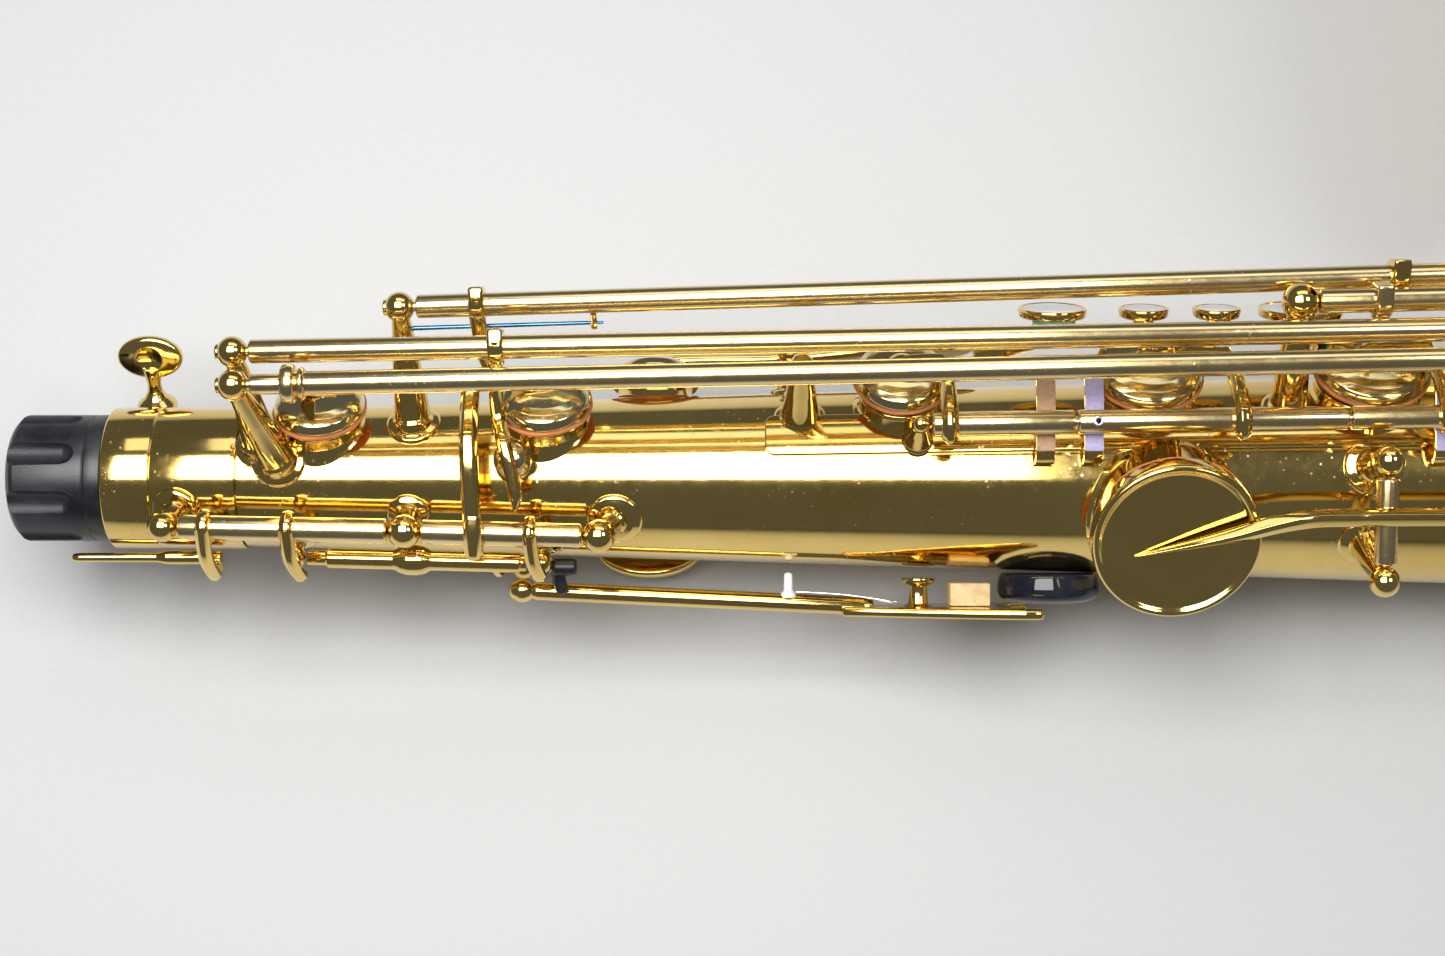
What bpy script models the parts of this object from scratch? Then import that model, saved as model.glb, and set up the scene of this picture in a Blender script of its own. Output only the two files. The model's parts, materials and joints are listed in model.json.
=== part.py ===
"""A tenor saxophone body with its end plug fitted, lying on its left side.

Every size is in millimetres in the instrument's own frame: x runs down the body tube from the mouth of
the neck socket, y points to the player's front (the bell side) and z to the player's right. An angle
round the tube is 0 at the front, 90 at the right, 180 at the back and -90 at the left.
"""
import math

import bmesh
import bpy
from mathutils import Matrix, Vector

# ---- body tube, bow and bell
SOCKET_LENGTH = 29.0
SOCKET_RADIUS = 15.5
SOCKET_BORE = 14.1
TUBE_START_RADIUS = 15.0
TUBE_TAPER = 0.031
TUBE_END = 655.0
WALL = 1.1
BOW_BEND_RADIUS = 59.0
BOW_LEG = 8.0
BOW_END_RADIUS = 38.0
BELL_MOUTH_X = 330.0
BELL_TILT = 3.5
BELL_RIM_RADIUS = 76.0
FIT_GAP = 0.3

# ---- end plug
PLUG_HEAD = 21.0
PLUG_RADIUS = 13.85
PLUG_FLUTES = 8

# ---- mechanism
ROD_RADIUS = 2.5
BALL_RADIUS = 3.2
POST_STEM = 2.2
POST_FOOT = 5.4
PAD_THICKNESS = 2.6
CUP_HEIGHT = 3.0
CHIMNEY_WALL = 1.2
ARM_WIDTH = 4.6
ARM_THICKNESS = 2.2
STACK_OPEN = 10.0
LOWER_OPEN = 8.0
BELL_OPEN = 6.0

# ---- how it lies
REST_ROLL = 17.2
REST_PITCH = 0.17

ROUND = 8
CUP_SIDES = 12
TUBE_SIDES = 24
MM = 0.001

COLOURS = {
    "lacquer": ((0.80, 0.56, 0.20), 0.22, 1.0),
    "key_lacquer": ((0.84, 0.60, 0.22), 0.18, 1.0),
    "leather": ((0.55, 0.20, 0.06), 0.65, 0.0),
    "blued_steel": ((0.05, 0.12, 0.30), 0.35, 1.0),
    "black_plastic": ((0.02, 0.02, 0.022), 0.38, 0.0),
    "black_gloss": ((0.01, 0.01, 0.015), 0.08, 0.0),
    "cork": ((0.62, 0.40, 0.22), 0.85, 0.0),
}


def clear_scene():
    for obj in list(bpy.data.objects):
        bpy.data.objects.remove(obj, do_unlink=True)


def material(name):
    found = bpy.data.materials.get(name)
    if found:
        return found
    colour, roughness, metallic = COLOURS[name]
    made = bpy.data.materials.new(name)
    made.use_nodes = True
    shader = made.node_tree.nodes["Principled BSDF"]
    shader.inputs["Base Color"].default_value = (*colour, 1.0)
    shader.inputs["Roughness"].default_value = roughness
    shader.inputs["Metallic"].default_value = metallic
    made.diffuse_color = (*colour, 1.0)
    return made


# ---- places on the instrument
def tube_radius(x):
    return TUBE_START_RADIUS + TUBE_TAPER * (x - SOCKET_LENGTH)


def spoke(phi):
    angle = math.radians(phi)
    return Vector((0.0, math.cos(angle), math.sin(angle)))


def across(phi):
    angle = math.radians(phi)
    return Vector((0.0, -math.sin(angle), math.cos(angle)))


def place(x, phi, height):
    return Vector((x, 0.0, 0.0)) + spoke(phi) * (tube_radius(x) + height)


def along(a, b, x):
    return a + (b - a) * ((x - a.x) / (b.x - a.x))


def bow_centre(angle):
    turn = math.radians(angle)
    start = TUBE_END + BOW_LEG
    return Vector((start + BOW_BEND_RADIUS * math.sin(turn), BOW_BEND_RADIUS * (1 - math.cos(turn)), 0.0))


def bow_radius(angle):
    return tube_radius(TUBE_END) + (BOW_END_RADIUS - tube_radius(TUBE_END)) * angle / 180.0


BELL_START = Vector((TUBE_END - BOW_LEG, 2 * BOW_BEND_RADIUS, 0.0))
BELL_AXIS = Vector((-math.cos(math.radians(BELL_TILT)), math.sin(math.radians(BELL_TILT)), 0.0))
BELL_FRONT = Vector((math.sin(math.radians(BELL_TILT)), math.cos(math.radians(BELL_TILT)), 0.0))
BELL_LENGTH = (BELL_START.x - BELL_MOUTH_X) / math.cos(math.radians(BELL_TILT))


def bell_radius(s):
    share = s / BELL_LENGTH
    straight = BOW_END_RADIUS + 11.0 * share
    return straight + (BELL_RIM_RADIUS - BOW_END_RADIUS - 11.0) * share ** 6.5


def bell_place(x, height):
    s = (BELL_START.x - x) / math.cos(math.radians(BELL_TILT))
    return BELL_START + BELL_AXIS * s + Vector((0.0, 0.0, bell_radius(s) + height))


# ---- closed solids
def skin(rings, closed=False):
    """A closed solid through a list of equal rings of points, capped at both ends unless it joins up."""
    bm = bmesh.new()
    loops = [[bm.verts.new(p) for p in ring] for ring in rings]
    pairs = list(zip(loops, loops[1:] + loops[:1])) if closed else list(zip(loops, loops[1:]))
    for low, high in pairs:
        for i in range(len(low)):
            j = (i + 1) % len(low)
            bm.faces.new((low[i], low[j], high[j], high[i]))
    if not closed:
        bm.faces.new(loops[0][::-1])
        bm.faces.new(loops[-1])
    bmesh.ops.recalc_face_normals(bm, faces=bm.faces)
    return bm


def basis(direction):
    """Two unit vectors square to a direction."""
    w = direction.normalized()
    u = w.cross(Vector((1, 0, 0)) if abs(w.x) < 0.9 else Vector((0, 1, 0))).normalized()
    return u, w.cross(u)


def circle(centre, direction, radius, sides, turn=0.5):
    u, v = basis(direction)
    angles = [2 * math.pi * (i + turn) / sides for i in range(sides)]
    return [centre + (u * math.cos(t) + v * math.sin(t)) * radius for t in angles]


def turned(start, direction, stations, sides=ROUND, turn=0.5):
    w = direction.normalized()
    return skin([circle(start + w * s, w, r, sides, turn) for s, r in stations])


def rod(a, b, radius, sides=ROUND):
    return turned(a, b - a, [(0, radius), ((b - a).length, radius)], sides)


def ball(centre, direction, radius, sides=6):
    rings = [(math.sin(t) * radius, math.cos(t) * radius) for t in map(math.radians, (-62, -20, 20, 62))]
    return turned(centre, direction, rings, sides, 0.19)


def bar(points, outward, width=ARM_WIDTH, thickness=ARM_THICKNESS):
    """A flat arm through points; outward is the direction its broad face looks."""
    rings = []
    for i, p in enumerate(points):
        ahead = (points[min(i + 1, len(points) - 1)] - points[max(i - 1, 0)]).normalized()
        face = outward[i] if isinstance(outward, list) else outward
        side = ahead.cross(face).normalized() * width / 2
        up = side.cross(ahead).normalized() * thickness / 2
        if up.dot(face) < 0:
            up = -up
        rings.append([p + side + up, p - side + up, p - side - up, p + side - up])
    return skin(rings)


def plate(outline, normal, thickness):
    half = normal.normalized() * thickness / 2
    return skin([[p - half for p in outline], [p + half for p in outline]])


def oval(centre, u, v, ru, rv, sides=12):
    angles = [2 * math.pi * i / sides for i in range(sides)]
    return [centre + u * (ru * math.cos(t)) + v * (rv * math.sin(t)) for t in angles]


def post(foot, top, ball_radius=BALL_RADIUS, foot_radius=POST_FOOT):
    """A turned post: a flange sunk in the tube wall, a tapered stem and the ball that holds the hinge."""
    w = (top - foot).normalized()
    length = (top - foot).length
    stem = [(-0.9, foot_radius), (1.0, foot_radius - 0.6), (1.3, POST_STEM + 1.0), (length - 1.0, POST_STEM - 0.3)]
    return [turned(foot, w, stem, 6), ball(top, w, ball_radius)]


def fuse(first, others, cutters=()):
    """One mesh: the first solid joined with the others, then cut."""
    pieces = bpy.data.collections.new("pieces")
    knives = bpy.data.collections.new("knives")
    made = []

    def hold(bm, owner):
        mesh = bpy.data.meshes.new("piece")
        bm.to_mesh(mesh)
        bm.free()
        obj = bpy.data.objects.new("piece", mesh)
        owner.objects.link(obj)
        made.append(obj)
        return obj

    base = hold(first, bpy.context.scene.collection)
    for bm in others:
        hold(bm, pieces)
    for bm in cutters:
        hold(bm, knives)
    for operation, operands in (("UNION", pieces), ("DIFFERENCE", knives)):
        if not operands.objects:
            continue
        step = base.modifiers.new(operation, "BOOLEAN")
        step.operation = operation
        step.operand_type = "COLLECTION"
        step.collection = operands
        step.solver = "EXACT"
    bpy.context.view_layer.update()
    graph = bpy.context.evaluated_depsgraph_get()
    result = bmesh.new()
    result.from_object(base, graph)
    for obj in made:
        bpy.data.objects.remove(obj, do_unlink=True)
    bpy.data.collections.remove(pieces)
    bpy.data.collections.remove(knives)
    bmesh.ops.remove_doubles(result, verts=result.verts, dist=0.002)
    bmesh.ops.transform(result, matrix=Matrix.Scale(MM, 4), verts=result.verts)
    return result


NODES = {}


def node(name, finish, solids, cutters=(), pivot=(0, 0, 0), turn=None):
    """Makes one named node. Its origin is on its pivot; turn is (axis, degrees) from how it was drawn."""
    pivot = Vector(pivot)
    bm = fuse(solids[0], solids[1:], cutters)
    if turn:
        spin = Matrix.Rotation(math.radians(turn[1]), 4, turn[0])
        bm.transform(Matrix.Translation(pivot * MM) @ spin @ Matrix.Translation(-pivot * MM))
    bm.transform(Matrix.Translation(-pivot * MM))
    mesh = bpy.data.meshes.new(name)
    bm.to_mesh(mesh)
    bm.free()
    for face in mesh.polygons:
        face.use_smooth = True
    mesh.set_sharp_from_angle(angle=math.radians(38))
    mesh.materials.append(material(finish))
    obj = bpy.data.objects.new(name, mesh)
    obj.location = pivot * MM
    bpy.context.scene.collection.objects.link(obj)
    NODES[name] = obj
    return obj


# ---- hinges: each pair of points is where the pivots of a rod sit
ROD_A = (Vector((65, 36, 20)), Vector((440, 47.0, 26.8)))
ROD_B = (Vector((32, 26, 30)), Vector((330, 31.2, 34.8)))
ROD_C = (Vector((33, 19, 34)), place(440, 56.0, 21.2))
ROD_D = (Vector((174.2, 11.2, 26.4)), Vector((335, 13.4, 31.2)))
OCTAVE_ROD = (Vector((15, -10.3, 20)), Vector((66, -11.2, 20.4)), Vector((107, -12.2, 20.8)))
ROCKER_ROD = (Vector((41, -17.0, 11.0)), Vector((94, -18.3, 11.6)))
LOWER_ROD = (place(350, 58, 9), place(540, 58, 9))
EB_ROD = (place(547, 52, 9), place(606, 52, 9))
C_ROD = (Vector((TUBE_END - 15, -16, 42)), Vector((TUBE_END + 61, -16, 42)))
BELL_ROD = (bell_place(600, -3) + BELL_FRONT * -38, bell_place(436, -3) + BELL_FRONT * -38)
SIDE_PIVOT = (Vector((269.4, 3.5, 33)), Vector((269.4, -21.4, 30)))

STACK_CUPS = {"key_b": (171.0, 7.4, 180.0), "key_a": (223.0, 9.0, 240.0), "key_g": (270.0, 9.7, 282.0)}
STACK_PHI = 38.0
LOWER_CUPS = {"key_f_sharp": (374.0, 13.0), "key_f": (418.0, 14.0), "key_e": (464.0, 15.0), "key_d": (513.0, 16.0)}
LOWER_PHI = 20.0
CHIMNEY = 3.6

HOLES = {
    "high_f_sharp": (47.0, 42.0, 7.2, 3.2),
    "high_e": (95.0, 42.0, 7.6, 3.2),
    "octave_vent": (89.0, 80.0, 1.6, 4.0),
    "side_b_flat": (227.0, 115.0, 14.6, 5.0),
    "g_sharp": (318.0, -42.0, 11.5, CHIMNEY),
    "low_e_flat": (577.0, 98.0, 14.0, CHIMNEY),
    "palm_d": (118.0, -20.0, 7.0, CHIMNEY),
    "palm_e_flat": (92.0, -70.0, 7.0, CHIMNEY),
    "palm_f": (55.0, -124.0, 6.5, CHIMNEY),
}
for _name, (_x, _r, _arm) in STACK_CUPS.items():
    HOLES[_name] = (_x, STACK_PHI, _r, CHIMNEY)
for _name, (_x, _r) in LOWER_CUPS.items():
    HOLES[_name] = (_x, LOWER_PHI, _r, CHIMNEY)

LOW_C = (Vector((TUBE_END + 45, 22, 0)), 16.5)
BELL_HOLES = {"low_b": (545.0, 17.5), "low_b_flat": (470.0, 18.5)}
C_SHARP = (605.0, 15.0)


def chimney(name):
    """(ring, bore) of a tone hole drawn up from the tube."""
    x, phi, radius, height = HOLES[name]
    top = tube_radius(x) + height
    reach = math.sqrt(tube_radius(x) ** 2 - min(radius + CHIMNEY_WALL, tube_radius(x) - 2) ** 2)
    start = Vector((x, 0, 0)) + spoke(phi) * (reach - 1.5)
    ring = turned(start, spoke(phi), [(0, radius + CHIMNEY_WALL), (top - reach + 1.5, radius + CHIMNEY_WALL)], 10)
    bore = turned(start - spoke(phi), spoke(phi), [(0, radius), (top - reach + 6, radius)], 10)
    return ring, bore


def pad_seat(name):
    """(centre of the pad's underside, its normal, pad radius) when the key is closed."""
    x, phi, radius, height = HOLES[name]
    return place(x, phi, height + FIT_GAP), spoke(phi), radius + CHIMNEY_WALL + 0.8


def cup_solid(centre, normal, radius, sides=CUP_SIDES):
    """A key cup: a turned dish, open below for its pad, standing above the pad's underside."""
    lift = FIT_GAP + 0.2
    low = PAD_THICKNESS * 0.35
    top = PAD_THICKNESS + CUP_HEIGHT
    outer = [(low, radius + 0.9), (PAD_THICKNESS + 1.6, radius + 0.9), (top, radius * 0.72)]
    inner = [(low - 1.0, radius), (PAD_THICKNESS + lift, radius)]
    return turned(centre, normal, outer, sides), turned(centre, normal, inner, sides)


def pad_solid(centre, normal, radius, sides=CUP_SIDES):
    edge = radius - FIT_GAP
    return turned(centre, normal, [(0, edge), (PAD_THICKNESS, edge)], sides)


def cup_top(centre, normal):
    return centre + normal * (PAD_THICKNESS + CUP_HEIGHT - 0.4)


def hinge_tube(a, b, x0, x1, radius=ROD_RADIUS):
    return rod(along(a, b, x0), along(a, b, x1), radius)


def saddle(a, b, x, reach=4.7, width=3.2):
    """The faceted collar where an arm is brazed to a hinge tube."""
    centre = along(a, b, x)
    w = (b - a).normalized()
    return turned(centre - w * width / 2, w, [(0, reach * 0.8), (width / 2, reach), (width, reach * 0.8)], 6)


def key_with_cup(name, seat, solids, pivot, turn=None, padded=True):
    """A key body and its pad: the cup, whatever carries it, and the pad seated under it."""
    centre, normal, radius = seat
    dish, hollow = cup_solid(centre, normal, radius)
    node(name, "key_lacquer", [dish, *solids], [hollow] if padded else (), pivot, turn)
    if padded:
        node(name + "_pad", "leather", [pad_solid(centre, normal, radius)], (), pivot, turn)


# ---- the body
def build_plug():
    shank = SOCKET_BORE - FIT_GAP
    shape = [(-PLUG_HEAD, PLUG_RADIUS - 1.2), (-PLUG_HEAD + 1.2, PLUG_RADIUS), (-FIT_GAP, PLUG_RADIUS)]
    shape += [(-FIT_GAP + 0.01, shank - 0.4), (15.0, shank - 0.4), (16.0, shank - 1.4)]
    body = turned(Vector((0, 0, 0)), Vector((1, 0, 0)), shape, TUBE_SIDES)
    flutes = []
    for i in range(PLUG_FLUTES):
        phi = 22.5 + 360.0 * i / PLUG_FLUTES
        start = Vector((-PLUG_HEAD - 2, 0, 0)) + spoke(phi) * (PLUG_RADIUS + 1.6)
        flutes.append(turned(start, Vector((1, 0, 0)), [(0, 3.0), (14.5, 3.0), (17.0, 1.5)], 6))
    node("end_plug", "black_plastic", [body], flutes)


EAR_PHI = -60.0


def build_socket():
    x = Vector((1, 0, 0))
    outer = [(0, SOCKET_RADIUS - 0.4), (0.5, SOCKET_RADIUS), (10.9, SOCKET_RADIUS), (11.1, SOCKET_RADIUS + 0.1)]
    outer.append((SOCKET_LENGTH, SOCKET_RADIUS + 0.1))
    body = turned(Vector((0, 0, 0)), x, outer, TUBE_SIDES)
    inner = [(-1, SOCKET_BORE), (20.0, SOCKET_BORE), (20.1, 14.5), (SOCKET_LENGTH + 1, 14.5)]
    bore = turned(Vector((0, 0, 0)), x, inner, TUBE_SIDES)
    radial, tangent = spoke(EAR_PHI), across(EAR_PHI)
    ears = []
    for side in (-1, 1):
        centre = Vector((5.6, 0, 0)) + radial * 18.4 + tangent * side * 2.9
        outline = [(-3.6, -4.2), (3.6, -4.2), (3.6, 2.2), (2.2, 4.0), (-2.2, 4.0), (-3.6, 2.2)]
        ears.append(plate([centre + x * a + radial * b for a, b in outline], tangent, 4.0))
    corner = Vector((-1, 0, 0)) + radial * 12.5
    slot = plate([corner, corner + x * 14, corner + x * 14 + radial * 12, corner + radial * 12], tangent, 1.6)
    screw_at = Vector((5.6, 0, 0)) + radial * 19.0
    screw_bore = rod(screw_at - tangent * 9, screw_at + tangent * 9, 1.9, 10)
    lug = post(Vector((16.2, 0, 0)) + spoke(117) * SOCKET_RADIUS, OCTAVE_ROD[0])
    node("neck_socket", "lacquer", [body, *ears, *lug], [bore, slot, screw_bore])
    shape = [(-6.5, 1.6), (6.6, 1.6), (6.7, 4.2), (9.0, 4.2), (11.5, 2.2), (16.5, 2.0)]
    stem = turned(screw_at, tangent, shape, 10)
    leaf = plate(oval(screw_at + tangent * 19.5, x, tangent, 7.0, 5.2), radial, 2.2)
    node("socket_screw", "key_lacquer", [stem, leaf], (), screw_at)


def build_tube():
    x = Vector((1, 0, 0))
    start = 20.4
    outer = [(start, 14.2), (SOCKET_LENGTH + FIT_GAP - 0.01, 14.2), (SOCKET_LENGTH + FIT_GAP, TUBE_START_RADIUS)]
    outer += [(TUBE_END - 0.3, tube_radius(TUBE_END))]
    body = turned(Vector((0, 0, 0)), x, outer, TUBE_SIDES)
    inner = [(start - 1, 13.3), (SOCKET_LENGTH, 13.3), (TUBE_END + 1, tube_radius(TUBE_END) - WALL)]
    solids, cutters = [], [turned(Vector((0, 0, 0)), x, inner, TUBE_SIDES)]
    for name in HOLES:
        ring, bore = chimney(name)
        solids.append(ring)
        cutters.append(bore)
    for begin, end, phi in ((142, 345, 61), (352, 620, 60), (352, 560, -60)):
        middle = (begin + end) / 2
        axis = (place(end, phi, 0) - place(begin, phi, 0)).normalized()
        lie = place(middle, phi, 0.1)
        side = across(phi) * 4.6
        run = axis * (end - begin) / 2
        rib = [lie - run - side, lie + run - side, lie + run + side, lie - run + side]
        solids.append(plate(rib, spoke(phi), 2.0))
    for foot, top, size in tube_posts():
        solids += post(foot, top, size)
    node("body_tube", "lacquer", [body, *solids], cutters)


def surface(x, phi, sunk=0.0):
    return place(x, phi, -sunk)


def straight_post(top, x=None, size=BALL_RADIUS):
    """A post that stands straight out from the tube to a hinge point."""
    phi = math.degrees(math.atan2(top.z, top.y))
    return surface(top.x if x is None else x, phi), top, size


def tube_posts():
    found = [
        (surface(66.7, 43), ROD_A[0], BALL_RADIUS),
        (surface(34.5, 62), ROD_B[0], BALL_RADIUS),
        (surface(38.5, 76), ROD_C[0], BALL_RADIUS),
        straight_post(OCTAVE_ROD[1]),
        (surface(110, 121), OCTAVE_ROD[2], BALL_RADIUS),
        straight_post(ROCKER_ROD[0], size=2.6),
        straight_post(ROCKER_ROD[1], size=2.6),
        straight_post(SIDE_PIVOT[0]),
        (surface(269.4, 128), SIDE_PIVOT[1], BALL_RADIUS),
    ]
    found += [straight_post(end) for end in (ROD_A[1], ROD_B[1])]
    found.append((surface(440, 98), ROD_C[1], BALL_RADIUS))
    found += [straight_post(ROD_D[0], size=2.0), straight_post(ROD_D[1], size=2.8)]
    found += [straight_post(end) for end in (*LOWER_ROD, *EB_ROD)]
    for name in PALM_KEYS:
        found += [straight_post(end, size=2.8) for end in palm_pivot(name)]
    for end in GS_ROD:
        found.append(straight_post(end))
    found += [straight_post(end, size=2.8) for end in TABLE_ROD]
    return found


def build_bow():
    angles = [0, 18, 36, 54, 72, 90, 108, 126, 144, 162, 180]

    def ring_at(angle, thinner):
        turn = math.radians(angle)
        centre, radius = bow_centre(angle), bow_radius(angle) - thinner
        side = Vector((-math.sin(turn), math.cos(turn), 0))
        up = Vector((0, 0, 1))
        steps = [2 * math.pi * (i + 0.5) / TUBE_SIDES for i in range(TUBE_SIDES)]
        return [centre + (side * math.cos(t) + up * math.sin(t)) * radius for t in steps]

    outer = [ring_at(a, 0) for a in angles]
    inner = [ring_at(a, WALL) for a in angles]
    for rings, leg in ((outer, BOW_LEG - FIT_GAP), (inner, BOW_LEG + 2)):
        rings.insert(0, [p - Vector((leg, 0, 0)) for p in rings[0]])
        rings.append([p - Vector((leg, 0, 0)) for p in rings[-1]])
    spot, radius = LOW_C
    top = bow_radius(50) + CHIMNEY
    up = Vector((0, 0, 1))
    ring = turned(spot + up * 20, up, [(0, radius + CHIMNEY_WALL), (top - 20, radius + CHIMNEY_WALL)], 14)
    bore = turned(spot + up * 19, up, [(0, radius), (top, radius)], 14)
    lug_foot = Vector((C_ROD[1].x, 2, 27))
    lugs = post(lug_foot, C_ROD[1])
    node("bow", "lacquer", [skin(outer), ring, *lugs], [skin(inner), bore])


def build_bell():
    stations = [5, 90, 170, 225, 260, 284, 300, BELL_LENGTH - 1.0]
    outer, inner = [], []
    for s in stations:
        centre = BELL_START + BELL_AXIS * s
        outer.append(circle(centre, BELL_AXIS, bell_radius(s), TUBE_SIDES))
        inner.append(circle(centre, BELL_AXIS, bell_radius(s) - WALL, TUBE_SIDES))
    leg = Vector((1, 0, 0))
    for rings, radius, length in ((outer, BOW_END_RADIUS, BOW_LEG - FIT_GAP),
                                  (inner, BOW_END_RADIUS - WALL, BOW_LEG + 2)):
        rings.insert(0, circle(BELL_START + leg * 0.1, -leg, radius, TUBE_SIDES))
        rings.insert(0, circle(BELL_START + leg * length, -leg, radius, TUBE_SIDES))
    end = BELL_START + BELL_AXIS * (BELL_LENGTH + 1.0)
    inner.append(circle(end, BELL_AXIS, bell_radius(BELL_LENGTH - 1.0) - WALL + 1.5, TUBE_SIDES))
    rim = []
    for k in range(5):
        t = 2 * math.pi * k / 5
        rim.append((BELL_LENGTH - 1.4 + 1.9 * math.cos(t), BELL_RIM_RADIUS + 0.3 + 1.9 * math.sin(t)))
    loops = [circle(BELL_START + BELL_AXIS * s, BELL_AXIS, r, TUBE_SIDES, 0.3) for s, r in rim]
    roll = skin(loops, closed=True)
    solids, cutters = [], [skin(inner)]
    for x, radius in BELL_HOLES.values():
        top = bell_place(x, CHIMNEY)
        up = Vector((0, 0, 1))
        depth = 18.0
        solids.append(turned(top - up * depth, up, [(0, radius + CHIMNEY_WALL), (depth, radius + CHIMNEY_WALL)], 14))
        cutters.append(turned(top - up * (depth + 2), up, [(0, radius), (depth + 6, radius)], 14))
    x, radius = C_SHARP
    down = Vector((0, 0, -1))
    centre = bell_place(x, 0)
    start = Vector((centre.x, centre.y, -bell_radius(50) + 12))
    solids.append(turned(start, down, [(0, radius + CHIMNEY_WALL), (12 + CHIMNEY, radius + CHIMNEY_WALL)], 14))
    cutters.append(turned(start - down * 2, down, [(0, radius), (20 + CHIMNEY, radius)], 14))
    for end in BELL_ROD:
        solids += post(bell_foot(end), end)
    for end in CS_ROD:
        solids += post(bell_foot(end), end)
    node("bell", "lacquer", [skin(outer), roll, *solids], cutters)


def bell_foot(top):
    """The point on the bell's wall straight below a hinge point."""
    s = (BELL_START.x - top.x) / math.cos(math.radians(BELL_TILT))
    centre = BELL_START + BELL_AXIS * s
    out = top - centre
    out -= BELL_AXIS * out.dot(BELL_AXIS)
    return centre + out.normalized() * bell_radius(s)


def build_ferrules():
    x = Vector((1, 0, 0))
    for name, centre, radius in (
        ("body_ferrule", Vector((TUBE_END, 0, 0)), tube_radius(TUBE_END)),
        ("bell_ferrule", Vector((TUBE_END, 2 * BOW_BEND_RADIUS, 0)), BOW_END_RADIUS),
    ):
        shape = [(-7, radius + 1.4), (-6, radius + 2.2), (6, radius + 2.2), (7, radius + 1.4)]
        band = turned(centre, x, shape, TUBE_SIDES)
        hole = turned(centre, x, [(-9, radius + FIT_GAP), (9, radius + FIT_GAP)], TUBE_SIDES)
        node(name, "lacquer", [band], [hole])


BRACE_X = 425.0
GUARD_HEIGHT = 19.0
LYRE_X = 38.0
LYRE_PHI = -92.0
LYRE_HEIGHT = 23.0


def build_brace():
    """The strut between body and bell: a foot on each and a ring between them."""
    s = (BELL_START.x - BRACE_X) / math.cos(math.radians(BELL_TILT))
    y_high = (BELL_START + BELL_AXIS * s).y - bell_radius(s)
    low = Vector((BRACE_X + 16, 0, 0)) + spoke(-22) * (tube_radius(BRACE_X + 16) + FIT_GAP)
    high = Vector((BRACE_X + 16, y_high - 1.6, -10))
    middle = (low + high) / 2
    y = (high - low).normalized()
    x = Vector((1, 0, 0))
    out = x.cross(y)
    rings = []
    for i in range(16):
        t = 2 * math.pi * i / 16
        spot = middle + x * (13 * math.cos(t)) + y * (11 * math.sin(t))
        aim = x * math.cos(t) + y * math.sin(t)
        rings.append([spot + aim * 1.8 + out * 1.8, spot - aim * 1.8 + out * 1.8,
                      spot - aim * 1.8 - out * 1.8, spot + aim * 1.8 - out * 1.8])
    ring = skin(rings, closed=True)
    lower = rod(low + y * 1.2, middle - y * 9.5, 2.6)
    upper = rod(middle + y * 9.5, high - y * 0.6, 2.6)
    node("bell_brace", "key_lacquer", [ring, lower, upper])


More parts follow.
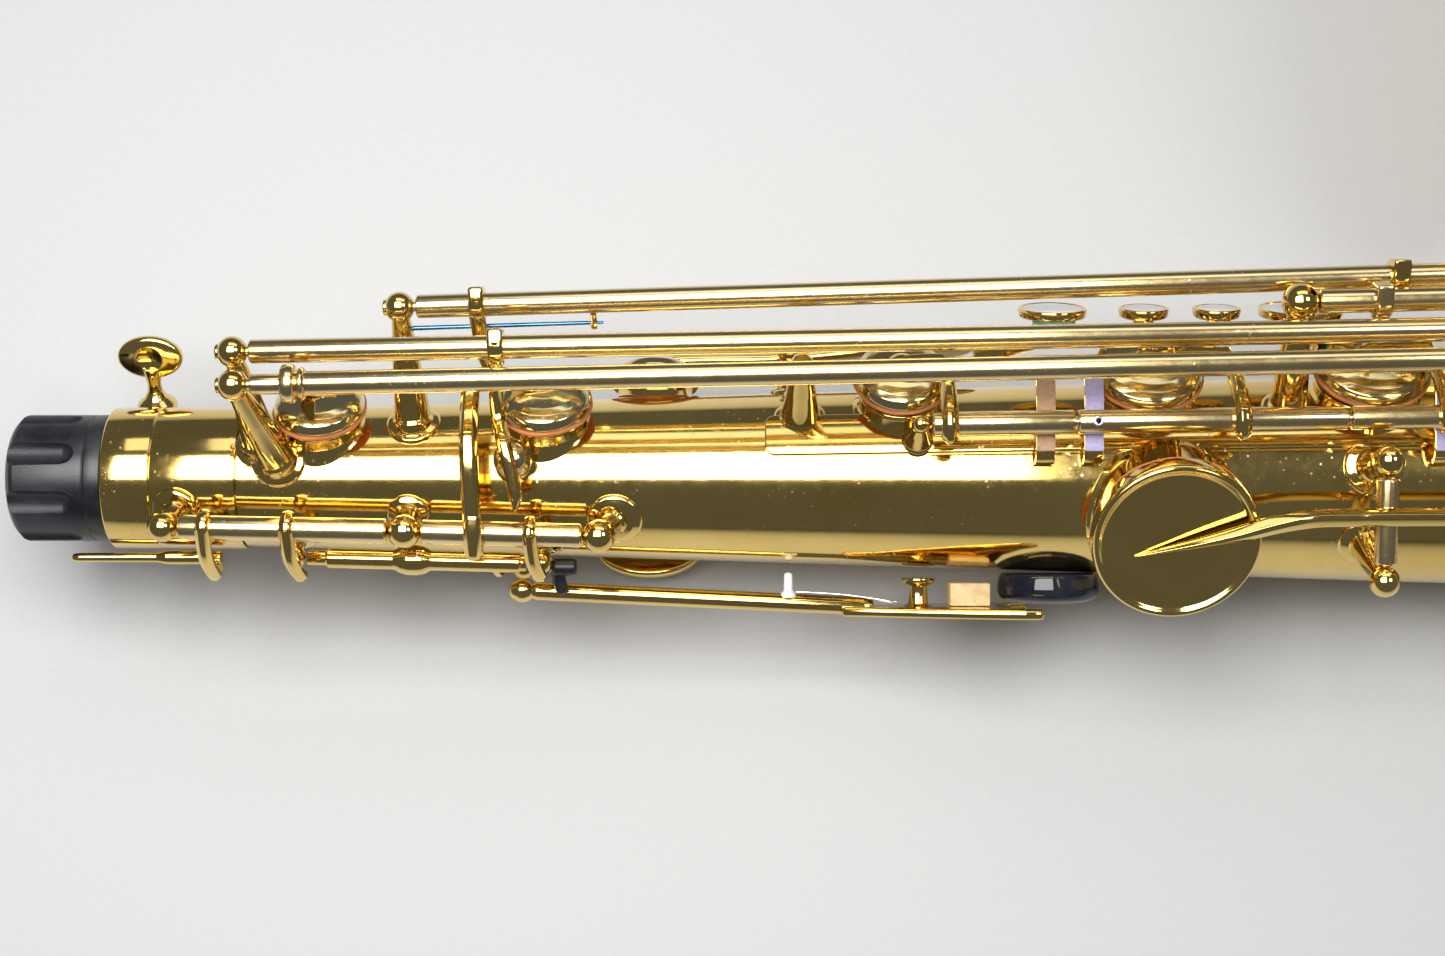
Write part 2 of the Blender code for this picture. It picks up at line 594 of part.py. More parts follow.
def build_body_fittings():
    x = Vector((1, 0, 0))
    # strap ring: a saddle on the back of the tube with an eye standing out of it
    base = place(330, 180, FIT_GAP + 0.9)
    foot = plate(oval(base, x, across(180), 11, 5), spoke(180), 1.6)
    eye_centre = place(330, 180, 9.5)
    rings = []
    for i in range(14):
        t = 2 * math.pi * i / 14
        aim = x * math.cos(t) + spoke(180) * math.sin(t)
        spot = eye_centre + aim * 7.0
        side = across(180)
        rings.append([spot + aim * 1.6 + side * 1.6, spot - aim * 1.6 + side * 1.6,
                      spot - aim * 1.6 - side * 1.6, spot + aim * 1.6 - side * 1.6])
    node("strap_ring", "lacquer", [foot, skin(rings, closed=True)])
    # right thumb hook
    base = place(430, 176, FIT_GAP + 1.0)
    foot = plate(oval(base, x, across(176), 13, 7), spoke(176), 1.8)
    out, side = spoke(176), across(176)
    path = [base, base + out * 8 + x * 2, base + out * 15 + x * 7, base + out * 17 + x * 16, base + out * 15 + x * 25]
    faces = [x * -1, x * -1 + out * 0.4, x * -1 + out, out, out]
    node("thumb_hook", "lacquer", [foot, bar(path, faces, 16.0, 2.4)])
    # left thumb rest
    shape = [(0, 10.2), (3.6, 11.2), (5.6, 10.4), (6.8, 6.5)]
    spot = place(204.5, 180, FIT_GAP)
    node("thumb_rest", "black_gloss", [turned(spot, spoke(180), shape, 18)])
    # lyre holder: a short stalk on the left with a square socket, which the instrument lies on
    out, side = spoke(LYRE_PHI), across(LYRE_PHI)
    base = place(LYRE_X, LYRE_PHI, FIT_GAP + 0.9)
    foot = plate(oval(base, x, side, 8, 5), out, 1.7)
    head = place(LYRE_X, LYRE_PHI, LYRE_HEIGHT - 5.0)
    block = [head + x * a + side * b for a, b in ((-6, -5), (6, -5), (6, 5), (-6, 5))]
    hole = [head + side * a + out * b for a, b in ((-3.0, -3.0), (3.0, -3.0), (3.0, 3.0), (-3.0, 3.0))]
    node("lyre_holder", "lacquer", [foot, rod(base, head, 3.0), plate(block, out, 10.0)], [plate(hole, x, 20.0)])
    # bell key guard: two feet and a bowed strap over the cups
    up = Vector((0, 0, 1))
    for name, hole in (("guard_low_b_flat", "low_b_flat"), ("guard_low_b", "low_b")):
        x_centre, radius = BELL_HOLES[hole]
        half = radius + 8.5
        spots = [(-half - 5, 1.6), (-half, 1.8), (-half + 1, GUARD_HEIGHT - 4), (-half + 6, GUARD_HEIGHT)]
        spots += [(-x_off, height) for x_off, height in reversed(spots)]
        path = []
        for offset, height in spots:
            level = bell_place(x_centre + offset, 0).z if height < 2 else bell_place(x_centre, 0).z
            path.append(Vector((x_centre + offset, bell_place(x_centre + offset, 0).y, level + height)))
        faces = [up, up - x, up - x * 3, up, up, up + x * 3, up + x, up]
        node(name, "lacquer", [bar(path, faces, 5.0, 2.0)])


# ---- keys on long rods
def build_high_keys():
    a, b = ROD_C
    seat = pad_seat("high_f_sharp")
    solids = [hinge_tube(a, b, a.x + 3.6, b.x - 3.6), saddle(a, b, 40.5)]
    top = cup_top(seat[0], seat[1])
    solids.append(bar([along(a, b, 40.5), top + Vector((-3, 0, 3.5)), top + Vector((1, 0, 0))], seat[1]))
    touch = side_touch(along(a, b, 412), 405, 428, 66, 17)
    key_with_cup("high_f_sharp", seat, solids + [saddle(a, b, 412)] + touch, along(a, b, 40.5))
    a, b = ROD_A
    seat = pad_seat("high_e")
    solids = [hinge_tube(a, b, a.x + 3.6, b.x - 3.6), saddle(a, b, 81.5), saddle(a, b, 274)]
    top = cup_top(seat[0], seat[1])
    solids.append(bar([along(a, b, 81.5), top + Vector((-11, 5, 2)), top + Vector((0, 0, 0))], seat[1]))
    spot = along(a, b, 424) + Vector((0, 9, 1))
    solids += [saddle(a, b, 424), bar([along(a, b, 424), spot], Vector((0, 0, 1)), 4.0)]
    solids.append(plate(oval(spot, Vector((1, 0, 0)), Vector((0, 1, 0)), 11, 6), Vector((0, 0, 1)), 2.2))
    key_with_cup("high_e", seat, solids, along(a, b, 81.5))
    a, b = ROD_B
    seat = pad_seat("octave_vent")
    solids = [hinge_tube(a, b, a.x + 3.6, b.x - 3.6), saddle(a, b, 86.5)]
    top = cup_top(seat[0], seat[1])
    solids.append(bar([along(a, b, 86.5), along(a, b, 87.5) + Vector((0, -10, -5)), top], seat[1], 3.4))
    key_with_cup("octave_vent", seat, solids, along(a, b, 86.5), padded=False)


def side_touch(start, x0, x1, phi, height):
    """A curved finger plate beside the tube, joined to its hinge tube."""
    corners = [place(x0, phi, height), place(x1, phi, height)]
    middle = (corners[0] + corners[1]) / 2
    out = spoke(phi)
    pad = plate(oval(middle, Vector((1, 0, 0)), across(phi), (x1 - x0) / 2, 7.0), out, 2.2)
    return [pad, bar([start, middle], out, 4.0)]


def build_stack():
    a, b = ROD_D
    cuts = {"key_b": (176.6, 206.0), "key_a": (206.6, 262.0), "key_g": (262.6, b.x - 3.1)}
    for name, (x, radius, arm) in STACK_CUPS.items():
        seat = pad_seat(name)
        x0, x1 = cuts[name]
        top = cup_top(seat[0], seat[1])
        solids = [hinge_tube(a, b, x0, x1), saddle(a, b, arm, 4.4)]
        shoulder = along(a, b, arm) + spoke(60) * 2.0
        solids.append(bar([shoulder, shoulder * 0.5 + top * 0.5 + spoke(50) * 1.6, top], spoke(50)))
        key_with_cup(name, seat, solids, along(a, b, arm), (b - a, STACK_OPEN))
    a, b = LOWER_ROD
    edges = [a.x + 3.6, 396.0, 441.0, 489.0, b.x - 3.6]
    for i, (name, (x, radius)) in enumerate(LOWER_CUPS.items()):
        seat = pad_seat(name)
        top = cup_top(seat[0], seat[1])
        first = edges[i] + (0.3 if i else 0)
        last = edges[i + 1] - (0.3 if i < 3 else 0)
        solids = [hinge_tube(a, b, first, last), saddle(a, b, x, 4.4)]
        shoulder = along(a, b, x) + spoke(50) * 2.0
        solids.append(bar([shoulder, shoulder * 0.5 + top * 0.5 + spoke(40) * 2.2, top], spoke(40)))
        key_with_cup(name, seat, solids, along(a, b, x), (b - a, LOWER_OPEN))


def build_side_b_flat():
    low, high = SIDE_PIVOT
    axis = (high - low).normalized()
    middle = low + (high - low) * 0.5
    seat = pad_seat("side_b_flat")
    top = cup_top(seat[0], seat[1])
    hub = rod(low + axis * 3.6, high - axis * 3.6, 2.2)
    reach = [top + seat[1] * 0.6 + Vector((-9, 0, -0.5)), top + seat[1] * 1.4 + Vector((12, 4.5, 0.5)),
             Vector((251, -8.2, 34.6)), Vector((269.4, -8.0, 34.0)), Vector((330, -7.5, 39.0)),
             Vector((345, -7.0, 41.0))]
    arm = bar(reach, [seat[1], seat[1], Vector((0, 0, 1)), Vector((0, 0, 1)), Vector((0, 0, 1)), Vector((0, 0, 1))],
              3.4, 2.6)
    touch = plate(oval(Vector((352, -7, 42)), Vector((1, 0, 0.05)), Vector((0, 1, 0)), 13, 7), Vector((0, 0, 1)), 2.2)
    key_with_cup("side_b_flat", seat, [hub, arm, touch], middle)


# ---- octave mechanism
def build_octave():
    first, second, third = OCTAVE_ROD
    # neck octave lever: hinge tube, crescent arms and the long thin pin by the socket
    tube = hinge_tube(first, second, first.x + 3.6, second.x - 3.6, 2.65)
    arm_a = bar([along(first, second, 24), Vector((24, -17, 17)), Vector((24, -20.5, 10)), Vector((22, -17.5, 4.4))],
                [spoke(120), spoke(140), spoke(155), spoke(165)], 3.4, 2.2)
    pin = rod(Vector((24, -17.3, 4.6)), Vector((-9, -17.3, 4.6)), 1.0, 6)
    arm_b = bar([along(first, second, 52), Vector((52, -17.5, 22)), Vector((52, -22.5, 18.5))],
                [spoke(110), spoke(125), spoke(140)], 3.4, 2.2)
    node("neck_octave_lever", "key_lacquer", [tube, saddle(first, second, 24, 4.6), arm_a, pin, arm_b,
         saddle(first, second, 52, 4.6)], (), along(first, second, 24))
    # octave link: reaches over the tube toward the vent key
    tube = hinge_tube(second, third, second.x + 3.6, third.x - 3.6, 2.65)
    reach = [along(second, third, 81) + Vector((0, -2, 1)), Vector((81, -5, 25.4)), Vector((81, 5, 26.2)),
             Vector((81, 14, 23.4))]
    arm = bar(reach, [spoke(112), spoke(100), spoke(80), spoke(62)], 3.6, 2.4)
    node("octave_link", "key_lacquer", [tube, saddle(second, third, 81, 4.4), arm], (), along(second, third, 81))
    # rocker: a second tube under the first, with a turned bead and a finger for the thumb lever
    a, b = ROCKER_ROD
    tube = rod(along(a, b, a.x + 3.0), along(a, b, b.x - 3.0), 2.15)
    bead = turned(along(a, b, 63), b - a, [(0, 2.2), (2.5, 3.1), (5.0, 3.1), (7.5, 2.2)])
    finger = bar([along(a, b, 84), Vector((84, -23.5, 7.6))], spoke(60), 3.2, 2.0)
    node("octave_rocker", "key_lacquer", [tube, bead, finger], (), along(a, b, 63))
    # thumb lever and its cork
    start, end = Vector((88, -24.4, 3.0)), Vector((164, -28.4, 0.0))
    lever = rod(start, end, 2.1)
    tip = ball(start, end - start, 2.9)
    back = Vector((0, -1, 0))
    half = [(160, 5), (172, 8), (186, 12.5), (199, 15.5), (202, 13.4), (195.5, 9.4), (191.5, 0)]
    outline = half + [(px, -pz) for px, pz in reversed(half[:-1])]
    touch = plate([Vector((px, -29.2, pz)) for px, pz in outline], back, 2.4)
    pivot = Vector((178, -29.2, 0))
    node("octave_thumb_key", "key_lacquer", [touch, lever, tip], (), pivot)
    cork = plate([Vector((186 + dx, -25.3, dz)) for dx, dz in ((-4, -4), (4, -4), (4, 4), (-4, 4))], back, 4.8)
    node("octave_cork", "cork", [cork], (), pivot)


# ---- palm keys: short see-saws on the left
PALM_KEYS = {"palm_d": (148.0, -20.0, 190.0), "palm_e_flat": (122.0, -70.0, 160.0), "palm_f": (88.0, -124.0, 128.0)}


def palm_pivot(name):
    x, phi, end = PALM_KEYS[name]
    middle = place(x, phi, 7.5)
    return middle - across(phi) * 8.0, middle + across(phi) * 8.0


def build_palm_keys():
    for name, (x, phi, end) in PALM_KEYS.items():
        a, b = palm_pivot(name)
        middle = (a + b) / 2
        seat = pad_seat(name)
        top = cup_top(seat[0], seat[1])
        hub = rod(a + across(phi) * 3.1, b - across(phi) * 3.1, 2.1)
        path = [top + Vector((-4, 0, 0)), top + Vector((6, 0, 0)) + spoke(phi) * 1.0, middle + spoke(phi) * 2.6,
                place(end - 16, phi, 12.0)]
        arm = bar(path, spoke(phi), 4.2, 2.4)
        spot = place(end - 12, phi, 12.5)
        touch = plate(oval(spot, Vector((1, 0, 0)), across(phi), 12.0, 7.0), spoke(phi), 2.6)
        key_with_cup(name, seat, [hub, arm, touch], middle)


# ---- left-hand table and the low keys
GS_ROD = (place(296, -78, 9), place(346, -78, 9))
TABLE_ROD = (place(352, -62, 9), place(372, -62, 9))
CS_ROD = (Vector((628, 92, -40)), Vector((560, 96, -41)))


def build_low_keys():
    a, b = GS_ROD
    seat = pad_seat("g_sharp")
    top = cup_top(seat[0], seat[1])
    solids = [hinge_tube(a, b, a.x + 3.6, b.x - 3.6), saddle(a, b, 318, 4.4)]
    solids.append(bar([along(a, b, 318), along(a, b, 318) * 0.5 + top * 0.5 + spoke(-60) * 2, top], spoke(-60)))
    key_with_cup("g_sharp", seat, solids, along(a, b, 318), padded=False)
    a, b = TABLE_ROD
    middle = (a + b) / 2
    tube = hinge_tube(a, b, a.x + 3.1, b.x - 3.1)
    spot = middle + spoke(-25) * 20
    touch = plate(oval(spot, Vector((1, 0, 0)), across(-35), 13.0, 9.0), spoke(-35), 2.4)
    arm = bar([middle, spot], spoke(-50), 5.0)
    node("table_key", "key_lacquer", [tube, arm, touch], (), middle)
    a, b = EB_ROD
    seat = pad_seat("low_e_flat")
    top = cup_top(seat[0], seat[1])
    solids = [hinge_tube(a, b, a.x + 3.6, b.x - 3.6), saddle(a, b, 577, 4.4)]
    shoulder = along(a, b, 577) + spoke(60) * 2.0
    solids.append(bar([shoulder, shoulder * 0.5 + top * 0.5 + spoke(75) * 3.4, top], spoke(76)))
    spot = along(a, b, 562) + Vector((0, 13, -3))
    solids.append(plate(oval(spot, Vector((1, 0, 0)), Vector((0, 1, -0.3)), 9, 7), Vector((0, 0.3, 1)), 2.4))
    solids.append(bar([along(a, b, 562), spot], Vector((0, 0.3, 1)), 4.4))
    key_with_cup("low_e_flat", seat, solids, along(a, b, 577))
    a, b = C_ROD
    up = Vector((0, 0, 1))
    spot, radius = LOW_C
    seat = (Vector((spot.x, spot.y, bow_radius(50) + CHIMNEY + FIT_GAP)), up, radius + CHIMNEY_WALL + 0.8)
    top = cup_top(seat[0], up)
    solids = [hinge_tube(a, b, a.x + 3.6, b.x - 3.6), saddle(a, b, spot.x, 4.4)]
    solids.append(bar([along(a, b, spot.x) + up * 2, along(a, b, spot.x) * 0.5 + top * 0.5 + up * 2.6, top], up))
    touch = along(a, b, a.x + 8) + Vector((-16, 14, 8))
    solids.append(plate(oval(touch, Vector((1, 0, 0)), Vector((0, 1, 0)), 11, 7), up, 2.4))
    solids.append(bar([along(a, b, a.x + 10), along(a, b, a.x + 10) + Vector((0, 6, 7)), touch], up, 4.4))
    key_with_cup("low_c", seat, solids, along(a, b, spot.x), (b - a, BELL_OPEN))
    a, b = BELL_ROD
    spans = {"low_b": (a.x - 3.6, 508.4), "low_b_flat": (507.8, b.x + 3.6)}
    for name, (x, radius) in BELL_HOLES.items():
        centre = bell_place(x, CHIMNEY + FIT_GAP)
        seat = (centre, up, radius + CHIMNEY_WALL + 0.8)
        top = cup_top(centre, up)
        x0, x1 = spans[name]
        solids = [hinge_tube(a, b, x0, x1), saddle(a, b, x, 4.4)]
        shoulder = along(a, b, x) + up * 2
        solids.append(bar([shoulder, Vector((x, shoulder.y * 0.5 + top.y * 0.5, top.z + 1.4)), top], up))
        key_with_cup(name, seat, solids, along(a, b, x), (b - a, -BELL_OPEN))
    a, b = CS_ROD
    x, radius = C_SHARP
    down = Vector((0, 0, -1))
    spot = bell_place(x, 0)
    seat = (Vector((x, spot.y, -bell_radius(50) - CHIMNEY - FIT_GAP)), down, radius + CHIMNEY_WALL + 0.8)
    top = cup_top(seat[0], down)
    solids = [hinge_tube(a, b, a.x - 3.6, b.x + 3.6), saddle(a, b, x, 4.4)]
    shoulder = along(a, b, x) + down * 2
    solids.append(bar([shoulder, Vector((x, shoulder.y * 0.5 + top.y * 0.5, top.z - 1.4)), top], down))
    key_with_cup("low_c_sharp", seat, solids, along(a, b, x), padded=False)


def build_springs():
    start = Vector((67.8, 31.8, 16.6))
    node("needle_spring", "blued_steel", [rod(start, start + Vector((40, 1.2, 0.6)), 0.45, 6)])


def lay_down():
    """Rolls and pitches the instrument so it rests on its left side, centred over the origin."""
    pose = bpy.data.objects.new("pose", None)
    bpy.context.scene.collection.objects.link(pose)
    tilt = Matrix.Rotation(math.radians(REST_PITCH), 4, "Y") @ Matrix.Rotation(math.radians(REST_ROLL), 4, "X")
    low = Vector((1e9, 1e9, 1e9))
    high = -low
    for obj in NODES.values():
        for vertex in obj.data.vertices:
            spot = tilt @ (vertex.co + obj.location)
            low = Vector(map(min, low, spot))
            high = Vector(map(max, high, spot))
        obj.parent = pose
    pose.matrix_world = Matrix.Translation((-(low.x + high.x) / 2, -(low.y + high.y) / 2, -low.z)) @ tilt
    bpy.context.view_layer.update()


def main():
    clear_scene()
    build_plug()
    build_socket()
    build_tube()
    build_bow()
    build_bell()
    build_ferrules()
    build_brace()
    build_body_fittings()
    build_high_keys()
    build_stack()
    build_side_b_flat()
    build_octave()
    build_palm_keys()
    build_low_keys()
    build_springs()
    lay_down()


main()
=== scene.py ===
# %% [markdown]
# A saxophone body lying on its left side, with a plug in its neck socket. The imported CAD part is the
# frame: it says where every rod, cup and post is, and how they move. This lesson builds the finer shapes
# and the finishes on top of it: lacquered brass, leather pads, felt, cork, blued steel and black plastic.

import json
import math

import bmesh
import bpy
from mathutils import Matrix, Vector

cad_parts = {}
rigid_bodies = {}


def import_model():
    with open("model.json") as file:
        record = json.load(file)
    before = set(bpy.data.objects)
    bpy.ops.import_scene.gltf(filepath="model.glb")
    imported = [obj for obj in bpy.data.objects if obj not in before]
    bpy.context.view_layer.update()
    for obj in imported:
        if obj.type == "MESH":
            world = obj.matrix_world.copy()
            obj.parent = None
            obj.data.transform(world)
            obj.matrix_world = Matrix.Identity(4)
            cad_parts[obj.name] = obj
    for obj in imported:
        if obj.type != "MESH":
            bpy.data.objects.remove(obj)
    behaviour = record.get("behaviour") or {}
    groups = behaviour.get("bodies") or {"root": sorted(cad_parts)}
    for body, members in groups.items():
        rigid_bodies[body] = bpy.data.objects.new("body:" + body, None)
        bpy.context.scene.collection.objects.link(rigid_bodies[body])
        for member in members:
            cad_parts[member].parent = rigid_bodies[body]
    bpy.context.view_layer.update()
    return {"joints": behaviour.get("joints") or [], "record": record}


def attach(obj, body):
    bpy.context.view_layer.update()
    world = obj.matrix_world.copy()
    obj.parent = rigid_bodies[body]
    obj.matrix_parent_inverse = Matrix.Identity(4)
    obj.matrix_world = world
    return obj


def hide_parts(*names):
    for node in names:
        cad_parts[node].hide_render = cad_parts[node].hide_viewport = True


for leftover in list(bpy.data.objects):
    bpy.data.objects.remove(leftover, do_unlink=True)
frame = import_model()

# %% [markdown]
# A repairer measures a saxophone from the mouth of its neck socket, in millimetres, so the shapes are drawn
# that way too: x runs down the tube, y towards the player's front, z to the player's right. The record's
# plug axis and thumb rest axis give the turn from there to the frame, and the plug's face gives the place.

# %% From the instrument's own measurements to the frame
MM = 0.001
record = frame["record"]
plug_joint = next(j for j in frame["joints"] if j["name"] == "plug_slide")
mounts = {mount["name"]: mount for mount in record["mounts"]}
down_tube = -Vector(plug_joint["axis"]).normalized()
to_front = -Vector(mounts["thumb_rest_face"]["axis"]).normalized()
to_right = down_tube.cross(to_front).normalized()
socket_mouth = Vector(mounts["plug_end"]["pos_m"]) + down_tube * 0.021
PLACE = Matrix.Translation(socket_mouth) @ Matrix((down_tube, to_front, to_right)).transposed().to_4x4()
TO_FRAME = PLACE @ Matrix.Scale(MM, 4)
print("socket mouth, metres:", tuple(round(c, 4) for c in socket_mouth))

# %% [markdown]
# The tube is a cone, so a place on it needs a distance down the tube, an angle round it and a height above
# its wall. The angle is 0 at the front, 90 at the right, 180 at the back. The bow is a half turn of growing
# tube, and the bell leans out a little and flares. These few rules place every post and tone hole.

# %% The instrument's lines
TUBE_END = 655.0
BEND = 59.0
LEG = 8.0
BOW_END_RADIUS = 38.0
WALL = 1.1
PAD_THICKNESS = 2.6
CUP_HEIGHT = 3.0
CHIMNEY = 3.6
CHIMNEY_WALL = 1.2
GAP = 0.3
X = Vector((1, 0, 0))
UP = Vector((0, 0, 1))
DOWN = Vector((0, 0, -1))


def tube_radius(x):
    return 15.0 + 0.031 * (x - 29.0)


def spoke(phi):
    return Vector((0.0, math.cos(math.radians(phi)), math.sin(math.radians(phi))))


def across(phi):
    return Vector((0.0, -math.sin(math.radians(phi)), math.cos(math.radians(phi))))


def place(x, phi, height):
    return Vector((x, 0.0, 0.0)) + spoke(phi) * (tube_radius(x) + height)


def along(a, b, x):
    return a + (b - a) * ((x - a.x) / (b.x - a.x))


BELL_START = Vector((TUBE_END - LEG, 2 * BEND, 0.0))
BELL_AXIS = Vector((-math.cos(math.radians(3.5)), math.sin(math.radians(3.5)), 0.0))
BELL_FRONT = Vector((math.sin(math.radians(3.5)), math.cos(math.radians(3.5)), 0.0))
BELL_LENGTH = (BELL_START.x - 330.0) / math.cos(math.radians(3.5))


def bow_centre(angle):
    turn = math.radians(angle)
    return Vector((TUBE_END + LEG + BEND * math.sin(turn), BEND * (1 - math.cos(turn)), 0.0))


def bow_radius(angle):
    return tube_radius(TUBE_END) + (BOW_END_RADIUS - tube_radius(TUBE_END)) * angle / 180.0


def bell_radius(s):
    share = s / BELL_LENGTH
    return BOW_END_RADIUS + 11.0 * share + 27.0 * share ** 6.5


def bell_place(x, height):
    s = (BELL_START.x - x) / math.cos(math.radians(3.5))
    return BELL_START + BELL_AXIS * s + Vector((0.0, 0.0, bell_radius(s) + height))


def bell_foot(top):
    s = (BELL_START.x - top.x) / math.cos(math.radians(3.5))
    centre = BELL_START + BELL_AXIS * s
    out = top - centre
    out -= BELL_AXIS * out.dot(BELL_AXIS)
    return centre + out.normalized() * bell_radius(s)


print("bell length, mm:", round(BELL_LENGTH, 1), " rim radius, mm:", round(bell_radius(BELL_LENGTH), 1))

# %% [markdown]
# The picture is taken from almost straight above the right side of the instrument, about half a metre up,
# with a lens that sees the upper third of the tube and cuts the rest off at the edge of the frame.

# %% Camera
camera_data = bpy.data.cameras.new("camera")
camera_data.sensor_width = 36.0
camera_data.lens = 36.0 * 2170.0 / 1445.0
camera_data.clip_start = 0.01
camera_data.clip_end = 20.0
camera = bpy.data.objects.new("camera", camera_data)
camera.matrix_world = PLACE @ Matrix.Translation(Vector((133.0, 0.0, 477.0)) * MM)
bpy.context.scene.collection.objects.link(camera)
bpy.context.scene.camera = camera
print("lens, mm:", round(camera_data.lens, 2))

# %% [markdown]
# Polished lacquer is a mirror, so the lights are drawn for the metal: one large soft box over the upper half
# of the tube makes the long white band, a dimmer one in front fills the rods' upper sides, and the side
# towards the back of the instrument is left without a light, so the metal turns dark there and reads as
# round. A weak pale sky keeps the floor even.

# %% Lights and floor
def soft_box(name, at, aim_at, size, power, colour=(1.0, 1.0, 1.0)):
    data = bpy.data.lights.new(name, "AREA")
    data.shape = "RECTANGLE"
    data.size, data.size_y = size[0] * MM, size[1] * MM
    data.energy = power
    data.color = colour
    box = bpy.data.objects.new(name, data)
    here = Vector(at)
    aim = (Vector(aim_at) - here).normalized()
    upright = aim.cross(X).normalized()
    turn = Matrix((aim.cross(upright) * -1.0, upright, -aim)).transposed().to_4x4()
    if turn.determinant() < 0:
        turn = Matrix((aim.cross(upright), upright, -aim)).transposed().to_4x4()
    box.matrix_world = PLACE @ Matrix.Translation(here * MM) @ turn
    bpy.context.scene.collection.objects.link(box)
    return box


soft_box("key light", (14, 172, 520), (14, 120, 0), (450, 370), 4.9, (1.0, 0.985, 0.96))
soft_box("front light", (260, 900, 620), (200, 0, 0), (1100, 420), 2.2, (0.97, 0.99, 1.0))
soft_box("tail light", (760, 260, 900), (420, 60, 0), (300, 300), 3.0)

world = bpy.data.worlds.new("studio")
world.use_nodes = True
world.node_tree.nodes["Background"].inputs["Color"].default_value = (0.62, 0.64, 0.68, 1.0)
world.node_tree.nodes["Background"].inputs["Strength"].default_value = 0.19
bpy.context.scene.world = world
bpy.context.scene.view_settings.view_transform = "Standard"


# %% [markdown]
# Every finish starts from the same few nodes, so there is one helper for a new material, one for noise that is
# stretched to a chosen grain, and one for bumps. The patterns read Object coordinates, which are the frame's
# metres, so a noise scale of 1000 is grain about a millimetre across.

# %% Finish helpers
def new_finish(name):
    made = bpy.data.materials.new(name)
    made.use_nodes = True
    tree = made.node_tree
    shader = tree.nodes["Principled BSDF"]
    where = tree.nodes.new("ShaderNodeTexCoord")
    return made, tree, shader, where.outputs["Object"]


def grain(tree, where, scale, stretch=(1, 1, 1), detail=3.0, rough=0.5):
    mapping = tree.nodes.new("ShaderNodeMapping")
    mapping.inputs["Scale"].default_value = stretch
    tree.links.new(where, mapping.inputs["Vector"])
    noise = tree.nodes.new("ShaderNodeTexNoise")
    noise.inputs["Scale"].default_value = scale
    noise.inputs["Detail"].default_value = detail
    noise.inputs["Roughness"].default_value = rough
    tree.links.new(mapping.outputs["Vector"], noise.inputs["Vector"])
    return noise.outputs["Fac"]


def spots(tree, where, scale, size, feather=0.4):
    cells = tree.nodes.new("ShaderNodeTexVoronoi")
    cells.inputs["Scale"].default_value = scale
    tree.links.new(where, cells.inputs["Vector"])
    return remap(tree, cells.outputs["Distance"], size, size * feather, 0.0, 1.0)


def remap(tree, value, from_low, from_high, to_low, to_high):
    made = tree.nodes.new("ShaderNodeMapRange")
    made.inputs["From Min"].default_value = from_low
    made.inputs["From Max"].default_value = from_high
    made.inputs["To Min"].default_value = to_low
    made.inputs["To Max"].default_value = to_high
    tree.links.new(value, made.inputs["Value"])
    return made.outputs["Result"]


def times(tree, a, b, operation="MULTIPLY"):
    made = tree.nodes.new("ShaderNodeMath")
    made.operation = operation
    made.use_clamp = True
    tree.links.new(a, made.inputs[0])
    if isinstance(b, (int, float)):
        made.inputs[1].default_value = b
    else:
        tree.links.new(b, made.inputs[1])
    return made.outputs["Value"]


def blend_colours(tree, share, first, second):
    made = tree.nodes.new("ShaderNodeMix")
    made.data_type = "RGBA"
    tree.links.new(share, made.inputs["Factor"])
    for socket, colour in ((made.inputs[6], first), (made.inputs[7], second)):
        if isinstance(colour, tuple):
            socket.default_value = (*colour, 1.0)
        else:
            tree.links.new(colour, socket)
    return made.outputs[2]


def add_bump(tree, shader, height, distance, strength=1.0):
    made = tree.nodes.new("ShaderNodeBump")
    made.inputs["Distance"].default_value = distance
    made.inputs["Strength"].default_value = strength
    tree.links.new(height, made.inputs["Height"])
    tree.links.new(made.outputs["Normal"], shader.inputs["Normal"])


# %% [markdown]
# The floor is a sheet of pale card, large enough to fill every view. It has a faint fibre so that it isn't one
# flat tone.

# %% Floor
card, tree, shader, where = new_finish("pale card")
fibre = grain(tree, where, 600.0, detail=4.0)
tree.links.new(blend_colours(tree, fibre, (0.50, 0.505, 0.51), (0.55, 0.555, 0.56)), shader.inputs["Base Color"])
tree.links.new(remap(tree, fibre, 0.3, 0.7, 0.72, 0.86), shader.inputs["Roughness"])
add_bump(tree, shader, fibre, 0.00005)
bm = bmesh.new()
bmesh.ops.create_grid(bm, x_segments=8, y_segments=8, size=25.0)
floor_mesh = bpy.data.meshes.new("floor")
bm.to_mesh(floor_mesh)
bm.free()
floor = bpy.data.objects.new("floor", floor_mesh)
floor_mesh.materials.append(card)
bpy.context.scene.collection.objects.link(floor)


# %% [markdown]
# Lacquered brass is a yellow metal under a clear varnish. The metal isn't one colour: polishing leaves slow
# changes of tone and very fine lines along the tube, and years of playing leave pale flecks where the
# lacquer has pitted. The varnish is a coat on the shader, and the flecks are small cells that turn paler and
# duller, only where a slow noise lets them.

